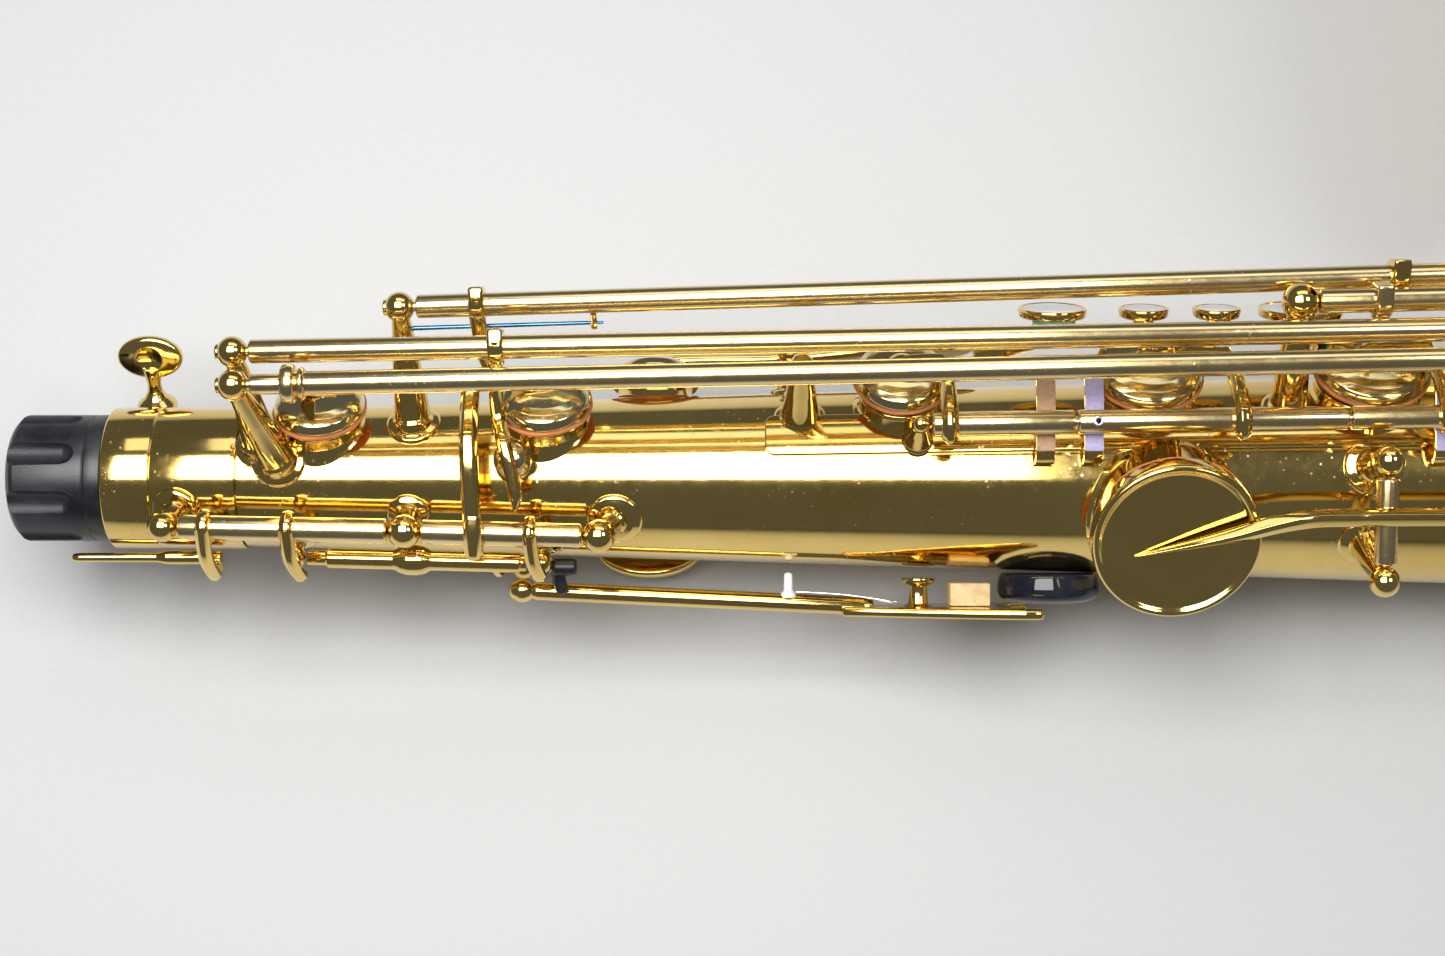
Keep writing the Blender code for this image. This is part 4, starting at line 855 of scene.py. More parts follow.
# %% Body tube
def body_tube():
    stations = [29.3 + 625.4 * k / 30 for k in range(31)]
    outer = [(20.4, 14.2), (29.2, 14.2)] + [(x, tube_radius(x)) for x in stations]
    inner = [(x, tube_radius(x) - WALL) for x in reversed(stations)] + [(29.0, 13.3), (20.4, 13.3)]
    wall = lathe(Vector((0, 0, 0)), X, outer + inner, 112, 0, closed=True)
    bores = []
    for x, phi, radius, _ in HOLES.values():
        bores.append(lathe(place(x, phi, -tube_radius(x) * 0.55), spoke(phi),
                           [(0, 0), (0, radius), (tube_radius(x), radius), (tube_radius(x), 0)], 72, 0))
    shapes = [cut(wall, bores)]
    shapes += [hole_ring(*hole) for hole in HOLES.values()]
    shapes.append(tube_strip(142, 345, 61, 9.4, 1.0))
    shapes.append(tube_strip(352, 620, 60, 9.4, 1.0))
    shapes.append(tube_strip(352, 560, -60, 9.4, 1.0))
    return piece("body_tube_shell", "body brass", shapes, "body", ["body_tube"])


FAR_ROD = (Vector((252.5, 36.4, 28.5)), Vector((345, 38.4, 30.5)))


def straight_post(top, ball_radius=3.2, foot_radius=5.6):
    phi = math.degrees(math.atan2(top.z, top.y))
    return ((top.x, phi), top, ball_radius, foot_radius)


def tube_posts():
    found = [((66.7, 43), ROD_A[0], 3.25, 5.8), ((34.5, 62), ROD_B[0], 3.25, 5.6), ((38.5, 76), ROD_C[0], 3.25, 5.8),
             straight_post(OCTAVE_ROD[1], 3.6, 4.6), ((110, 121), OCTAVE_ROD[2], 3.6, 6.0),
             straight_post(ROCKER_ROD[0], 2.6, 4.6), straight_post(ROCKER_ROD[1], 2.6, 4.6),
             straight_post(SIDE_PIVOT[0], 3.3, 6.2), ((269.4, 128), SIDE_PIVOT[1], 3.2, 6.2),
             straight_post(ROD_A[1]), straight_post(ROD_B[1]), ((440, 98), ROD_C[1], 3.2, 5.6),
             straight_post(ROD_D[0], 2.0, 3.0), straight_post(ROD_D[1], 2.8), ((253, 48), FAR_ROD[0], 3.9, 5.6),
             ((345, 46), FAR_ROD[1], 3.3, 5.6)]
    found += [straight_post(end) for end in (*LOWER_ROD, *EB_ROD, *GS_ROD)]
    for name in PALM_KEYS:
        found += [straight_post(end, 2.8, 4.8) for end in palm_pivot(name)]
    found += [straight_post(end, 2.8, 4.8) for end in TABLE_ROD]
    return found


def post_work():
    shapes = []
    for (x, phi), top, ball_radius, foot_radius in tube_posts():
        foot = place(x, phi, 0)
        shapes += post_shapes(foot, top, ball_radius, foot_radius, 3.9, ball_radius * 0.62, (x, phi))
    guide = place(149.5, 47, 0)
    shapes += post_shapes(guide, Vector((149.5, 23.6, 27.6)), 2.4, 5.6, 4.0, 2.2, (149.5, 47))
    for pair in (ROD_A, ROD_B, ROD_C, FAR_ROD, LOWER_ROD, EB_ROD, GS_ROD, TABLE_ROD):
        w = (pair[1] - pair[0]).normalized()
        shapes.append(screw_head(pair[0] - w * 3.0, -w))
        shapes.append(screw_head(pair[1] + w * 3.0, w))
    return piece("tube_posts", "key brass", shapes, "body", [])


neck_socket()
socket_screw()
print("body tube faces:", len(body_tube().data.polygons))
post_work()


# %% [markdown]
# The bow turns the tube round through half a circle while it widens, and the bell goes on widening to a
# rolled rim. Both are shells with openings for the lowest tone holes. A circle is carried along the bend and
# up the flare, once for the outside and once for the inside, and the inside is cut away.

# %% Bow and bell
def big_ring(centre, up, a, radius, height, depth):
    return lathe(centre - up * depth, up, [(0, radius), (0, a), (depth - height, a + 0.5), (depth - 0.8, a),
                                           (depth - 0.3, a + 0.25), (depth, a - 0.1), (depth, radius + 0.2),
                                           (depth - 0.5, radius)], 84, 0.12, closed=True)


def bow():
    def frames(thinner, leg):
        found = []
        for k in range(41):
            angle = 180.0 * k / 40
            turn = math.radians(angle)
            side = Vector((-math.sin(turn), math.cos(turn), 0))
            ahead = Vector((math.cos(turn), math.sin(turn), 0))
            radius = bow_radius(angle) - thinner
            found.append(Matrix.Translation(bow_centre(angle))
                         @ Matrix((side * radius, UP * -radius, ahead)).transposed().to_4x4())
        first = Matrix.Translation((-leg, 0, 0)) @ found[0]
        last = Matrix.Translation((-leg, 0, 0)) @ found[-1]
        return [first] + found + [last]

    spot = Vector((700, 22, bow_radius(50) + CHIMNEY))
    a = 16.5 + CHIMNEY_WALL
    hollow = [sweep(frames(WALL, LEG + 2), sides=96),
              lathe(spot - UP * 24, UP, [(0, 0), (0, 16.5), (30, 16.5), (30, 0)], 84, 0)]
    solid = sweep(frames(0, LEG - GAP), sides=96)
    shapes = [cut(solid, hollow), big_ring(spot, UP, a, 16.5, CHIMNEY, 11.5)]
    shapes += post_shapes(Vector((716, 2, 27)), C_ROD[1], 3.2, 5.4, 3.6, 2.0)
    return piece("bow_shell", "body brass", shapes, "body", ["bow"])


def bell():
    def frames(thinner, past):
        found = []
        for x in (TUBE_END - GAP if not thinner else TUBE_END + 2, BELL_START.x + 0.2):
            radius = BOW_END_RADIUS - thinner
            found.append(Matrix.Translation((x, BELL_START.y, 0))
                         @ Matrix((Vector((0, 1, 0)) * radius, UP * radius, -X)).transposed().to_4x4())
        for k in range(121):
            s = 4 + (BELL_LENGTH - 5) * (k / 120) ** 0.8
            radius = bell_radius(s) - thinner
            found.append(Matrix.Translation(BELL_START + BELL_AXIS * s)
                         @ Matrix((BELL_FRONT * radius, UP * radius, BELL_AXIS)).transposed().to_4x4())
        if past:
            radius = bell_radius(BELL_LENGTH - 1) - thinner + 1.5
            found.append(Matrix.Translation(BELL_START + BELL_AXIS * (BELL_LENGTH + 1))
                         @ Matrix((BELL_FRONT * radius, UP * radius, BELL_AXIS)).transposed().to_4x4())
        return found

    solid = sweep(frames(0, False), sides=144)
    knives = [sweep(frames(WALL, True), sides=144)]
    rings = []
    for x, radius in ((545.0, 17.5), (470.0, 18.5)):
        top = bell_place(x, CHIMNEY)
        knives.append(lathe(top - UP * 22, UP, [(0, 0), (0, radius), (28, radius), (28, 0)], 84, 0))
        rings.append(big_ring(top, UP, radius + CHIMNEY_WALL, radius, CHIMNEY, 11.5))
    spot = bell_place(605.0, 0)
    top = Vector((605.0, spot.y, -bell_radius(50) - CHIMNEY))
    knives.append(lathe(top + UP * 20, DOWN, [(0, 0), (0, 15), (26, 15), (26, 0)], 84, 0))
    rings.append(big_ring(top, DOWN, 15 + CHIMNEY_WALL, 15, CHIMNEY, 10.0))
    shapes = [cut(solid, knives), *rings]
    end = BELL_START + BELL_AXIS * (BELL_LENGTH - 1.4)
    shapes.append(ring_shape(end, BELL_AXIS, 76.3, 1.9, 144))
    for top in (*BELL_ROD, *CS_ROD):
        shapes += post_shapes(bell_foot(top), top, 3.2, 5.6, 3.8, 2.0)
    return piece("bell_shell", "body brass", shapes, "body", ["bell"])


bow()
bell()
for name, centre, radius in (("body_ferrule", Vector((TUBE_END, 0, 0)), tube_radius(TUBE_END)),
                             ("bell_ferrule", Vector((TUBE_END, 2 * BEND, 0)), BOW_END_RADIUS)):
    band = lathe(centre, X, [(-7, radius + 0.3), (-7, radius + 1.4), (-6.2, radius + 2.1), (-5.2, radius + 2.2),
                             (-4.8, radius + 1.7), (4.8, radius + 1.7), (5.2, radius + 2.2), (6.2, radius + 2.1),
                             (7, radius + 1.4), (7, radius + 0.3)], 112, 0.2, closed=True)
    piece(name + "_band", "key brass", [band], "body", [name])
print("bow, bell and two ferrules made")


# %% [markdown]
# Small fittings on the tube: the brace to the bell with its ring, the strap eye, the hook for the right
# thumb, the polished rest for the left thumb, the lyre socket, and two bell guards with their nuts.

# %% Body fittings
def fittings():
    foot_x = 441.0
    s = (BELL_START.x - 425.0) / math.cos(math.radians(3.5))
    y_high = (BELL_START + BELL_AXIS * s).y - bell_radius(s)
    low = Vector((foot_x, 0, 0)) + spoke(-22) * (tube_radius(foot_x) + GAP)
    high = Vector((foot_x, y_high - 1.6, -10))
    middle, y = (low + high) / 2, (high - low).normalized()
    hoop = [middle + X * (13 * math.cos(t)) + y * (11 * math.sin(t)) for t in
            [2 * math.pi * k / 48 for k in range(48)]]
    ring = sweep([Matrix.Translation(p) @ Matrix(((p - middle).normalized() * 2.0, X.cross(y) * 1.9,
                 (p - middle).normalized().cross(X.cross(y)))).transposed().to_4x4() for p in hoop[:25]], sides=14)
    ring_b = sweep([Matrix.Translation(p) @ Matrix(((p - middle).normalized() * 2.0, X.cross(y) * 1.9,
                   (p - middle).normalized().cross(X.cross(y)))).transposed().to_4x4()
                   for p in hoop[24:] + hoop[:1]], sides=14)
    arms = [lathe(low + y * 0.9, y, [(0, 0), (0, 5.5), (0.9, 5.0), (1.6, 3.0), (5, 2.3), ((middle - low).length - 9.5,
                                     2.2), ((middle - low).length - 9.5, 0)], 32, 0.3),
            lathe(high - y * 0.4, -y, [(0, 0), (0, 5.0), (0.9, 4.6), (1.6, 3.0), (5, 2.3), ((high - middle).length
                                       - 9.8, 2.2), ((high - middle).length - 9.8, 0)], 32, 0.3)]
    piece("bell_brace_ring", "key brass", [ring, ring_b, *arms], "body", ["bell_brace"])
    eye = ring_shape(place(330, 180, 9.5), across(180), 7.0, 1.7, 56)
    saddle = tube_strip(319, 341, 180, 10, 1.6, 4.4, -0.35)
    piece("strap_eye", "body brass", [saddle, eye], "body", ["strap_ring"])
    out, side, base = spoke(176), across(176), place(430, 176, 1.2)
    hook = strap([base, base + out * 6 + X * 1, base + out * 12 + X * 4, base + out * 16 + X * 11,
                  base + out * 16.5 + X * 18, base + out * 14.5 + X * 25],
                 [X * -1, X * -1 + out * 0.3, X * -1 + out * 0.8, out - X * 0.2, out, out + X * 0.3], 15.0, 2.4,
                 FLAT, None, 6, 0.6)
    screws = [screw_head(place(430 + dx, 176, 2.4), out, 2.0) for dx in (-8.5,)]
    piece("right_thumb_hook", "body brass", [tube_strip(417, 443, 176, 14, 1.9, 5.0, -0.35), hook, *screws], "body",
          ["thumb_hook"])
    rest = lathe(place(204.5, 180, GAP), spoke(180), [(0, 0), (0, 9.9), (0.6, 10.6), (3.2, 11.2), (4.6, 11.1),
                                                      (5.7, 10.3), (6.45, 8.2), (6.75, 5.0), (6.8, 0)], 96, 0.35)
    piece("left_thumb_rest", "gloss black", [rest], "body", ["thumb_rest"])
    out, side = spoke(-92.0), across(-92.0)
    head = place(38, -92, 18.0)
    block = plate([head + X * a + side * b for a, b in ((-6, -5), (6, -5), (6, 5), (-6, 5))], out, 10.0, 0.7)
    hole = plate([head + side * a + out * b for a, b in ((-3.0, -3.0), (3.0, -3.0), (3.0, 3.0), (-3.0, 3.0))], X, 20, 0)
    stalk = lathe(place(38, -92, 0.6), out, [(0, 0), (0, 4.6), (1.4, 4.3), (2.2, 3.2), (13.0, 3.0), (13.0, 0)], 32, 0.3)
    piece("lyre_socket", "body brass", [tube_strip(29.8, 46.2, -92, 9.5, 1.5, 3.6, -0.35), stalk, cut(block, [hole])],
          "body", ["lyre_holder"])
    for name, x_centre, radius in (("guard_low_b_flat", 470.0, 18.5), ("guard_low_b", 545.0, 17.5)):
        half = radius + 8.5
        spots = [(-half - 5, 1.4), (-half, 1.7), (-half + 1, 15.0), (-half + 6, 19.0)]
        spots += [(-offset, height) for offset, height in reversed(spots)]
        path = []
        for offset, height in spots:
            level = bell_place(x_centre + offset, 0).z if height < 2 else bell_place(x_centre, 0).z
            path.append(Vector((x_centre + offset, bell_place(x_centre + offset, 0).y, level + height)))
        looks = [UP, UP - X * 0.6, UP - X * 3, UP - X * 0.3, UP + X * 0.3, UP + X * 3, UP + X * 0.6, UP]
        band = strap(path, looks, 5.2, 1.9, FLAT, None, 4, 0.5)
        nut = lathe(path[3] * 0.5 + path[4] * 0.5 + UP * 0.2, UP, [(-1.6, 0), (-1.6, 5.2), (0.6, 5.2), (1.5, 4.4),
                                                                   (1.5, 1.6), (0.9, 1.4), (0.9, 0)], 40, 0.25)
        piece(name + "_band", "body brass", [band, nut], "body", [name])


fittings()


# %% [markdown]
# Keys share the same few parts: a hinge tube that turns on a steel rod between two posts, clasps where an arm
# is brazed to the tube, a ridged arm that wraps over the tube and ends in a point, a cup turned like a shallow
# dish, and a leather pad glued into the cup. The tube, the polished arms and the cups have different finishes
# on the real instrument, so they are separate pieces on the same body.

# %% Parts that every key uses
def hinge_tube(a, b, x0, x1, radius=2.5):
    start, end = along(a, b, x0), along(a, b, x1)
    long = (end - start).length
    return lathe(start, end - start, [(0, 0), (0, radius - 0.4), (0.35, radius), (long - 0.35, radius),
                                      (long, radius - 0.4), (long, 0)], 32, 0.08)


def steel_core(a, b):
    w = (b - a).normalized()
    long = (b - a).length - 4.8
    return lathe(a + w * 2.4, w, [(0, 0), (0, 1.1), (long, 1.1), (long, 0)], 16, 0)


def collar(a, b, x, radius=3.6, width=2.4):
    w = (b - a).normalized()
    half = width / 2
    return lathe(along(a, b, x) - w * half, w, [(0, 0), (0, radius - 0.5), (0.3, radius - 0.1), (half, radius + 0.15),
                                                (width - 0.3, radius - 0.1), (width, radius - 0.5), (width, 0)],
                 36, 0.15)


def clasp(a, b, x, toward, reach=5.6, width=3.3, radius=3.9):
    """A pear-shaped collar that runs to a point, brazed round a hinge tube."""
    w = (b - a).normalized()
    point = (Vector(toward) - w * Vector(toward).dot(w)).normalized()
    side = w.cross(point)
    centre = along(a, b, x)
    outline = [centre + point * reach]
    for degrees in range(42, 319, 12):
        t = math.radians(degrees)
        outline.append(centre + point * (radius * math.cos(t)) + side * (radius * math.sin(t)))
    return plate(outline, w, width, 0.75)


def cup(centre, normal, radius):
    """A turned dish, open below. Heights run from the pad's underside."""
    top = PAD_THICKNESS + CUP_HEIGHT
    return lathe(centre, normal, [(top, 0), (top - 0.2, radius * 0.4), (top - 0.75, radius * 0.68),
                                  (4.25, radius * 0.85), (3.4, radius - 0.15), (2.4, radius + 0.3),
                                  (1.75, radius + 0.5), (1.35, radius + 0.42), (1.4, radius + 0.05),
                                  (PAD_THICKNESS + 0.4, radius - 0.05), (PAD_THICKNESS + 0.5, 0)], 64, 0.2)


def flat_cup(centre, normal, radius):
    """The large side cup: a flat mirror face inside a rolled bright rim."""
    return lathe(centre, normal, [(4.6, 0), (4.6, radius - 1.6), (4.9, radius - 0.9), (5.5, radius - 0.3),
                                  (5.6, radius + 0.35), (5.1, radius + 0.85), (4.2, radius + 0.95),
                                  (1.4, radius + 0.95), (0.9, radius + 0.7), (0.95, radius + 0.2),
                                  (PAD_THICKNESS + 0.4, radius + 0.1), (PAD_THICKNESS + 0.5, 0)], 96, 0.2)


def pad_shape(centre, normal, radius):
    """Leather over felt: a low drum whose side swells out under the cup, with the tone hole's ring pressed in."""
    edge, swell = radius - 0.35, 1.25
    pad = lathe(centre, normal, [(PAD_THICKNESS, 0), (PAD_THICKNESS, edge - 0.2), (2.0, edge), (1.05, edge + 0.1),
                                 (1.15, edge + swell * 0.75), (0.65, edge + swell), (0.15, edge + swell * 0.7),
                                 (-0.05, edge), (0.0, edge - 0.8), (0.12, edge - 1.4), (-0.02, edge - 2.2),
                                 (0.0, edge * 0.5), (0.0, 0)], 60, 0.18)
    for v in pad.verts:
        offset = v.co - centre
        level = offset.dot(normal)
        flat = offset - normal * level
        if flat.length > radius * 0.9 and level < 1.0:
            turn = math.atan2(flat.dot(X), flat.dot(normal.cross(X)))
            v.co += flat.normalized() * (0.10 * math.sin(5 * turn + radius) + 0.06 * math.sin(11 * turn + 2))
    return pad


def cup_top(centre, normal):
    return centre + normal * (PAD_THICKNESS + CUP_HEIGHT - 0.3)


def seat_of(name):
    x, phi, radius, height = HOLES[name]
    return place(x, phi, height + GAP), spoke(phi), radius + CHIMNEY_WALL + 0.8


def finish_key(name, seat, tubes, arms, turn=None, padded=True, big=False):
    """The tube, the arms with the cup, and the pad of one key."""
    piece(name + "_tube", "rod brass", tubes, name, [], turn)
    dish = flat_cup(*seat) if big else cup(*seat)
    piece(name + "_cup", "key brass" if big else "cup brass", [dish], name, [name], turn)
    piece(name + "_arm", "key brass", arms, name, [], turn)
    if padded:
        pad = piece(name + "_leather", "pad leather", [pad_shape(*seat)], name, [name + "_pad"], turn)


# %% [markdown]
# Three long rods run side by side above the tube: the high F sharp key on the nearest, the octave vent's key on
# the middle one and the side high E on the far one. Their cups sit low on the front of the tube. The vent's
# narrow arm hooks over the middle rod, drops towards the front and crosses its small pad to end in a point.

# %% The long rods at the top of the tube
def long_rods():
    a, b = ROD_C
    seat = seat_of("high_f_sharp")
    top = cup_top(seat[0], seat[1])
    tubes = [hinge_tube(a, b, a.x + 3.6, 45.0, 2.1), hinge_tube(a, b, 44.0, b.x - 3.6), collar(a, b, 44.5, 3.95, 2.9),
             collar(a, b, 47.2, 3.2, 1.6)]
    arms = [strap([along(a, b, 44.5) + spoke(20) * 1.5, top + Vector((-2, 0.5, 3.2)), top + Vector((0, 0, 0.5)),
                   top + Vector((4, 0, -0.2))], seat[1], 3.4, 2.2)]
    touch = place(416.5, 66, 17)
    arms += [clasp(a, b, 412, (0, -0.4, 1)), strap([along(a, b, 412), (along(a, b, 412) + touch) / 2 + spoke(66) * 0.6,
                                                    touch], spoke(66), 4.0, 2.2),
             plate(oval(touch, X, across(66), 11.5, 7.0), spoke(66), 2.2, 0.7)]
    finish_key("high_f_sharp", seat, tubes, arms)
    a, b = ROD_A
    seat = seat_of("high_e")
    top = cup_top(seat[0], seat[1])
    tubes = [hinge_tube(a, b, a.x + 3.6, b.x - 3.6)]
    arms = [clasp(a, b, 81.5, (0, 0.75, 1)), clasp(a, b, 274, (0, 0.6, 1), 5.8, 3.8, 3.7),
            clasp(a, b, 424, (0, 0.7, 1)),
            strap([along(a, b, 81.5) + Vector((0, 1.2, 3.4)), along(a, b, 81.5) + Vector((0, -2.6, 1.6)),
                   top + Vector((-11, 5, 2)), top + Vector((-4, 1.5, 0.8)), top + Vector((3, 0, 0))],
                  [Vector((0, 0.6, 1)), Vector((0, 0.3, 1)), seat[1], seat[1], seat[1]], 3.4, 2.2)]
    spot = along(a, b, 424) + Vector((0, 9, 1))
    arms += [strap([along(a, b, 424), spot], UP, 4.0, 2.2, steps=3),
             plate(oval(spot, X, Vector((0, 1, 0)), 11, 6), UP, 2.2, 0.7)]
    finish_key("high_e", seat, tubes, arms)
    a, b = ROD_B
    seat = seat_of("octave_vent")
    top = cup_top(seat[0], seat[1])
    arms = [clasp(a, b, 86.5, (0, 0.9, 1), 5.4),
            strap([along(a, b, 86.5) + Vector((0, 1.0, 3.3)), along(a, b, 86.3) + Vector((0, -2.9, 1.2)),
                   along(a, b, 86.0) + Vector((0, -4.6, -2.2)), along(a, b, 85.8) + Vector((0, -10, -6.4)),
                   along(a, b, 86.2) + Vector((0, -15, -7.4)), top + Vector((-1.4, 2.4, 0.5)),
                   top + Vector((0.2, -4.0, 0.4)), top + Vector((1.0, -9.0, -0.1)), top + Vector((0.6, -11.8, -0.9))],
                  [Vector((0, 0.6, 1)), Vector((0, -1, 0.5)), Vector((0, -1, 0.9)), spoke(70), spoke(74), seat[1],
                   seat[1], spoke(92), spoke(98)], 3.0, 1.9, KEEL, pointed)]
    finish_key("octave_vent", seat, [hinge_tube(a, b, a.x + 3.6, b.x - 3.6)], arms, padded=False)
    vent_pad = lathe(seat[0], seat[1], [(-0.1, 0), (-0.1, 2.6), (0.4, 3.3), (1.3, 3.25), (1.5, 0)], 40, 0.2)
    soft = piece("octave_vent_leather", "pad leather", [vent_pad], "octave_vent", [])
    cores = [steel_core(*pair) for pair in (ROD_A, ROD_B, ROD_C, ROD_D, LOWER_ROD, EB_ROD, GS_ROD, TABLE_ROD)]
    piece("pivot_rods", "steel", cores, "body")


long_rods()
print("long rod keys made")


# %% [markdown]
# The B, A and G keys share one rod close to the tube. Each has an arm that crosses its own cup, wraps over the
# rod and ends in a short point. Between them, small feet with felt or adjusting screws let one key close
# the next. The lower stack works the same way, with larger cups. All of them stand open at rest.

# %% The two stacks
def crossing_arm(a, b, x, top, phi):
    """An arm from the far side of a cup, over the hinge tube, to a point beyond it."""
    out, beyond = 4.1, 3.6
    hinge = along(a, b, x)
    reach = top - hinge
    reach.x = 0
    reach.normalize()
    rise = spoke(phi)
    return strap([top - reach * 1.0 + rise * 0.2, top * 0.72 + hinge * 0.28 + rise * 1.5,
                  top * 0.3 + hinge * 0.7 + rise * 3.4, hinge + rise * (out - 0.4) - reach * 0.4,
                  hinge - reach * beyond + rise * (out - 2.4), hinge - reach * (beyond + 1.1) + rise * (out - 4.6)],
                 [rise, rise, rise, rise, rise - reach * 0.6, rise * 0.6 - reach], 3.5, 2.1, KEEL, pointed)


def closing_foot(x, body, soft, name):
    """A flat foot that reaches under the rod, with felt on top to keep it quiet."""
    rise = tube_radius(x) - tube_radius(200)
    path = [Vector((x, y, z + rise)) for y, z in ((22.5, 22.6), (17, 23.6), (11, 23.4), (5.6, 23.6), (3.9, 22.9),
                                                  (3.3, 21.6))]
    looks = [spoke(70), spoke(76), spoke(84), spoke(100), spoke(140), spoke(170)]
    piece(name + "_foot", "key brass", [strap(path, looks, 4.0, 1.1, FLAT, None, 5, 0.25)], body, [])
    lift = [p + UP * 0.95 for p in path[:4]]
    piece(name + "_foot_felt", soft, [strap(lift, looks[:4], 3.9, 0.8, FLAT, None, 5, 0.25)], body)


def finger_touch(x, radius, body, name, arm_to):
    """A dished holder with a disc of mother of pearl for a fingertip, and felt under it."""
    out = spoke(14)
    spot = Vector((x, 35.5, 13.0))
    holder = lathe(spot, out, [(-1.3, 0), (-1.3, radius * 0.8), (-0.9, radius - 0.3), (0.5, radius),
                               (1.0, radius - 0.15), (1.0, radius - 0.8), (0.2, radius - 1.2), (0.2, 0)], 56, 0.2)
    stem = strap([spot - out * 1.0, spot - out * 4.0 + across(14) * 2.5, arm_to], across(14), 4.4, 2.0, FLAT,
                 None, 5, 0.4)
    piece(name + "_touch", "key brass", [holder, stem], body, [])
    disc = lathe(spot, out, [(0.15, 0), (0.15, radius - 0.95), (0.9, radius - 0.95), (1.15, radius * 0.6), (1.2, 0)],
                 56, 0.15)
    piece(name + "_pearl", "mother of pearl", [disc], body)
    if radius > 7:
        under = lathe(spot + across(14) * 2.6, -out, [(1.2, 0), (1.2, radius * 0.62), (3.4, radius * 0.6),
                                                      (3.4, 0)], 40, 0.3)
        piece(name + "_touch_felt", "green felt", [under], body)


def set_screw(a, b, x, body, name):
    at = along(a, b, x)
    sleeve = lathe(at + UP * 2.1, UP, [(0, 0), (0, 1.1), (0.75, 1.05), (0.75, 0.55), (0.3, 0.5), (0.3, 0)], 24, 0.06)
    piece(name + "_screw", "steel", [sleeve], body)
    # No slot is cut: a small disc of gloss black sits in the sleeve's recess as painted shade, so the slot reads dark.
    slot = lathe(at + UP * 2.1, UP, [(0, 0), (0, 0.5), (0.5, 0.5), (0.5, 0)], 20, 0)
    piece(name + "_screw_slot_shade", "gloss black", [slot], body)


def stacks():
    a, b = ROD_D
    cuts = {"key_b": (176.6, 206.0), "key_a": (206.6, 262.0), "key_g": (262.6, b.x - 3.1)}
    for name, (x, _, arm) in STACK_CUPS.items():
        seat = seat_of(name)
        x0, x1 = cuts[name]
        top = cup_top(seat[0], seat[1])
        spot = Vector((arm, top.y, top.z))
        ridge = crossing_arm(a, b, arm, spot, 55)
        link = strap([spot + spoke(38) * 0.5, (spot + top) / 2 + spoke(38) * 0.5, top], spoke(38), 4.2, 2.0, FLAT,
                     None, 4, 0.5)
        boss = lathe(top - seat[1] * 0.4, seat[1], [(0, 0), (0, 3.4), (0.9, 3.1), (1.4, 2.0), (1.5, 0)], 32, 0.2)
        finish_key(name, seat, [hinge_tube(a, b, x0, x1)], [ridge, link, boss], (along(a, b, arm), b - a, 10.0))
    closing_foot(200.5, "key_b", "tan felt", "key_b")
    closing_foot(210.5, "key_a", "lavender felt", "key_a")
    closing_foot(283.0, "key_g", "lavender felt", "key_g")
    set_screw(a, b, 210.5, "key_a", "key_a")
    set_screw(a, b, 283.0, "key_g", "key_g")
    finger_touch(203.5, 7.4, "key_b", "key_b", Vector((186, 26.5, 19)))
    finger_touch(223, 5.4, "key_a", "key_a_small", Vector((226, 27.5, 20.6)))
    finger_touch(238.6, 5.2, "key_a", "key_a_second", Vector((228, 27.5, 20.6)))
    finger_touch(256.5, 9.0, "key_g", "key_g", Vector((266, 28.0, 21.2)))
    far = [hinge_tube(*FAR_ROD, 256.2, 341.3), clasp(*FAR_ROD, 269, (0, 0.5, 1), 5.8, 3.6)]
    piece("far_rod_tube", "rod brass", far, "body", [])
    a, b = LOWER_ROD
    edges = [a.x + 3.6, 396.0, 441.0, 489.0, b.x - 3.6]
    for i, (name, (x, _)) in enumerate(LOWER_CUPS.items()):
        seat = seat_of(name)
        top = cup_top(seat[0], seat[1])
        first = edges[i] + (0.3 if i else 0)
        last = edges[i + 1] - (0.3 if i < 3 else 0)
        ridge = crossing_arm(a, b, x, top, 45)
        finish_key(name, seat, [hinge_tube(a, b, first, last)], [ridge], (along(a, b, x), b - a, 8.0))


stacks()
print("stack keys made")


# %% [markdown]
# The side B flat key closes the largest cup of the upper tube. Its arm is a flat bar that runs to the right on
# edge, passes through a cross pivot between two posts, and tapers to a fine ridge on the face of the cup.

# %% Side B flat
def side_b_flat():
    low, high = SIDE_PIVOT
    axis = (high - low).normalized()
    seat = seat_of("side_b_flat")
    top = seat[0] + seat[1] * 4.4
    hub = lathe(low + axis * 3.6, axis, [(0, 0), (0, 2.0), (0.4, 2.35), ((high - low).length - 7.6, 2.35),
                                         ((high - low).length - 7.2, 2.0), ((high - low).length - 7.2, 0)], 32, 0.1)
    tip = top + Vector((-8.5, -3.2, -1.2))
    rim = Vector((246.5, -9.6, 33.2))
    path = [tip, tip * 0.75 + rim * 0.25 + seat[1] * 0.5, tip * 0.5 + rim * 0.5 + seat[1] * 0.8,
            tip * 0.25 + rim * 0.75 + seat[1] * 0.6, rim, Vector((254, -8.3, 34.6)), Vector((262, -8.1, 34.8)),
            Vector((269.4, -8.0, 34.9)), Vector((300, -7.8, 36.6)), Vector((330, -7.5, 39.0)),
            Vector((345, -7.0, 41.0))]
    looks = [seat[1] + UP * 0.2 * k for k in range(5)] + [UP] * 6

    def fine(t):
        return (min(1.0, 0.12 + t * 2.4), min(1.0, 0.25 + t * 2.6))

    arm = strap(path, looks, 3.7, 2.9, [(-1, -1), (1, -1), (1, 0.1), (0.3, 1), (-0.3, 1), (-1, 0.1)], fine, 5, 0.12)
    touch = plate(oval(Vector((352, -7, 42)), Vector((1, 0, 0.05)), Vector((0, 1, 0)), 13, 7), UP, 2.2, 0.7)
    finish_key("side_b_flat", seat, [hub], [arm, touch], big=True)


side_b_flat()


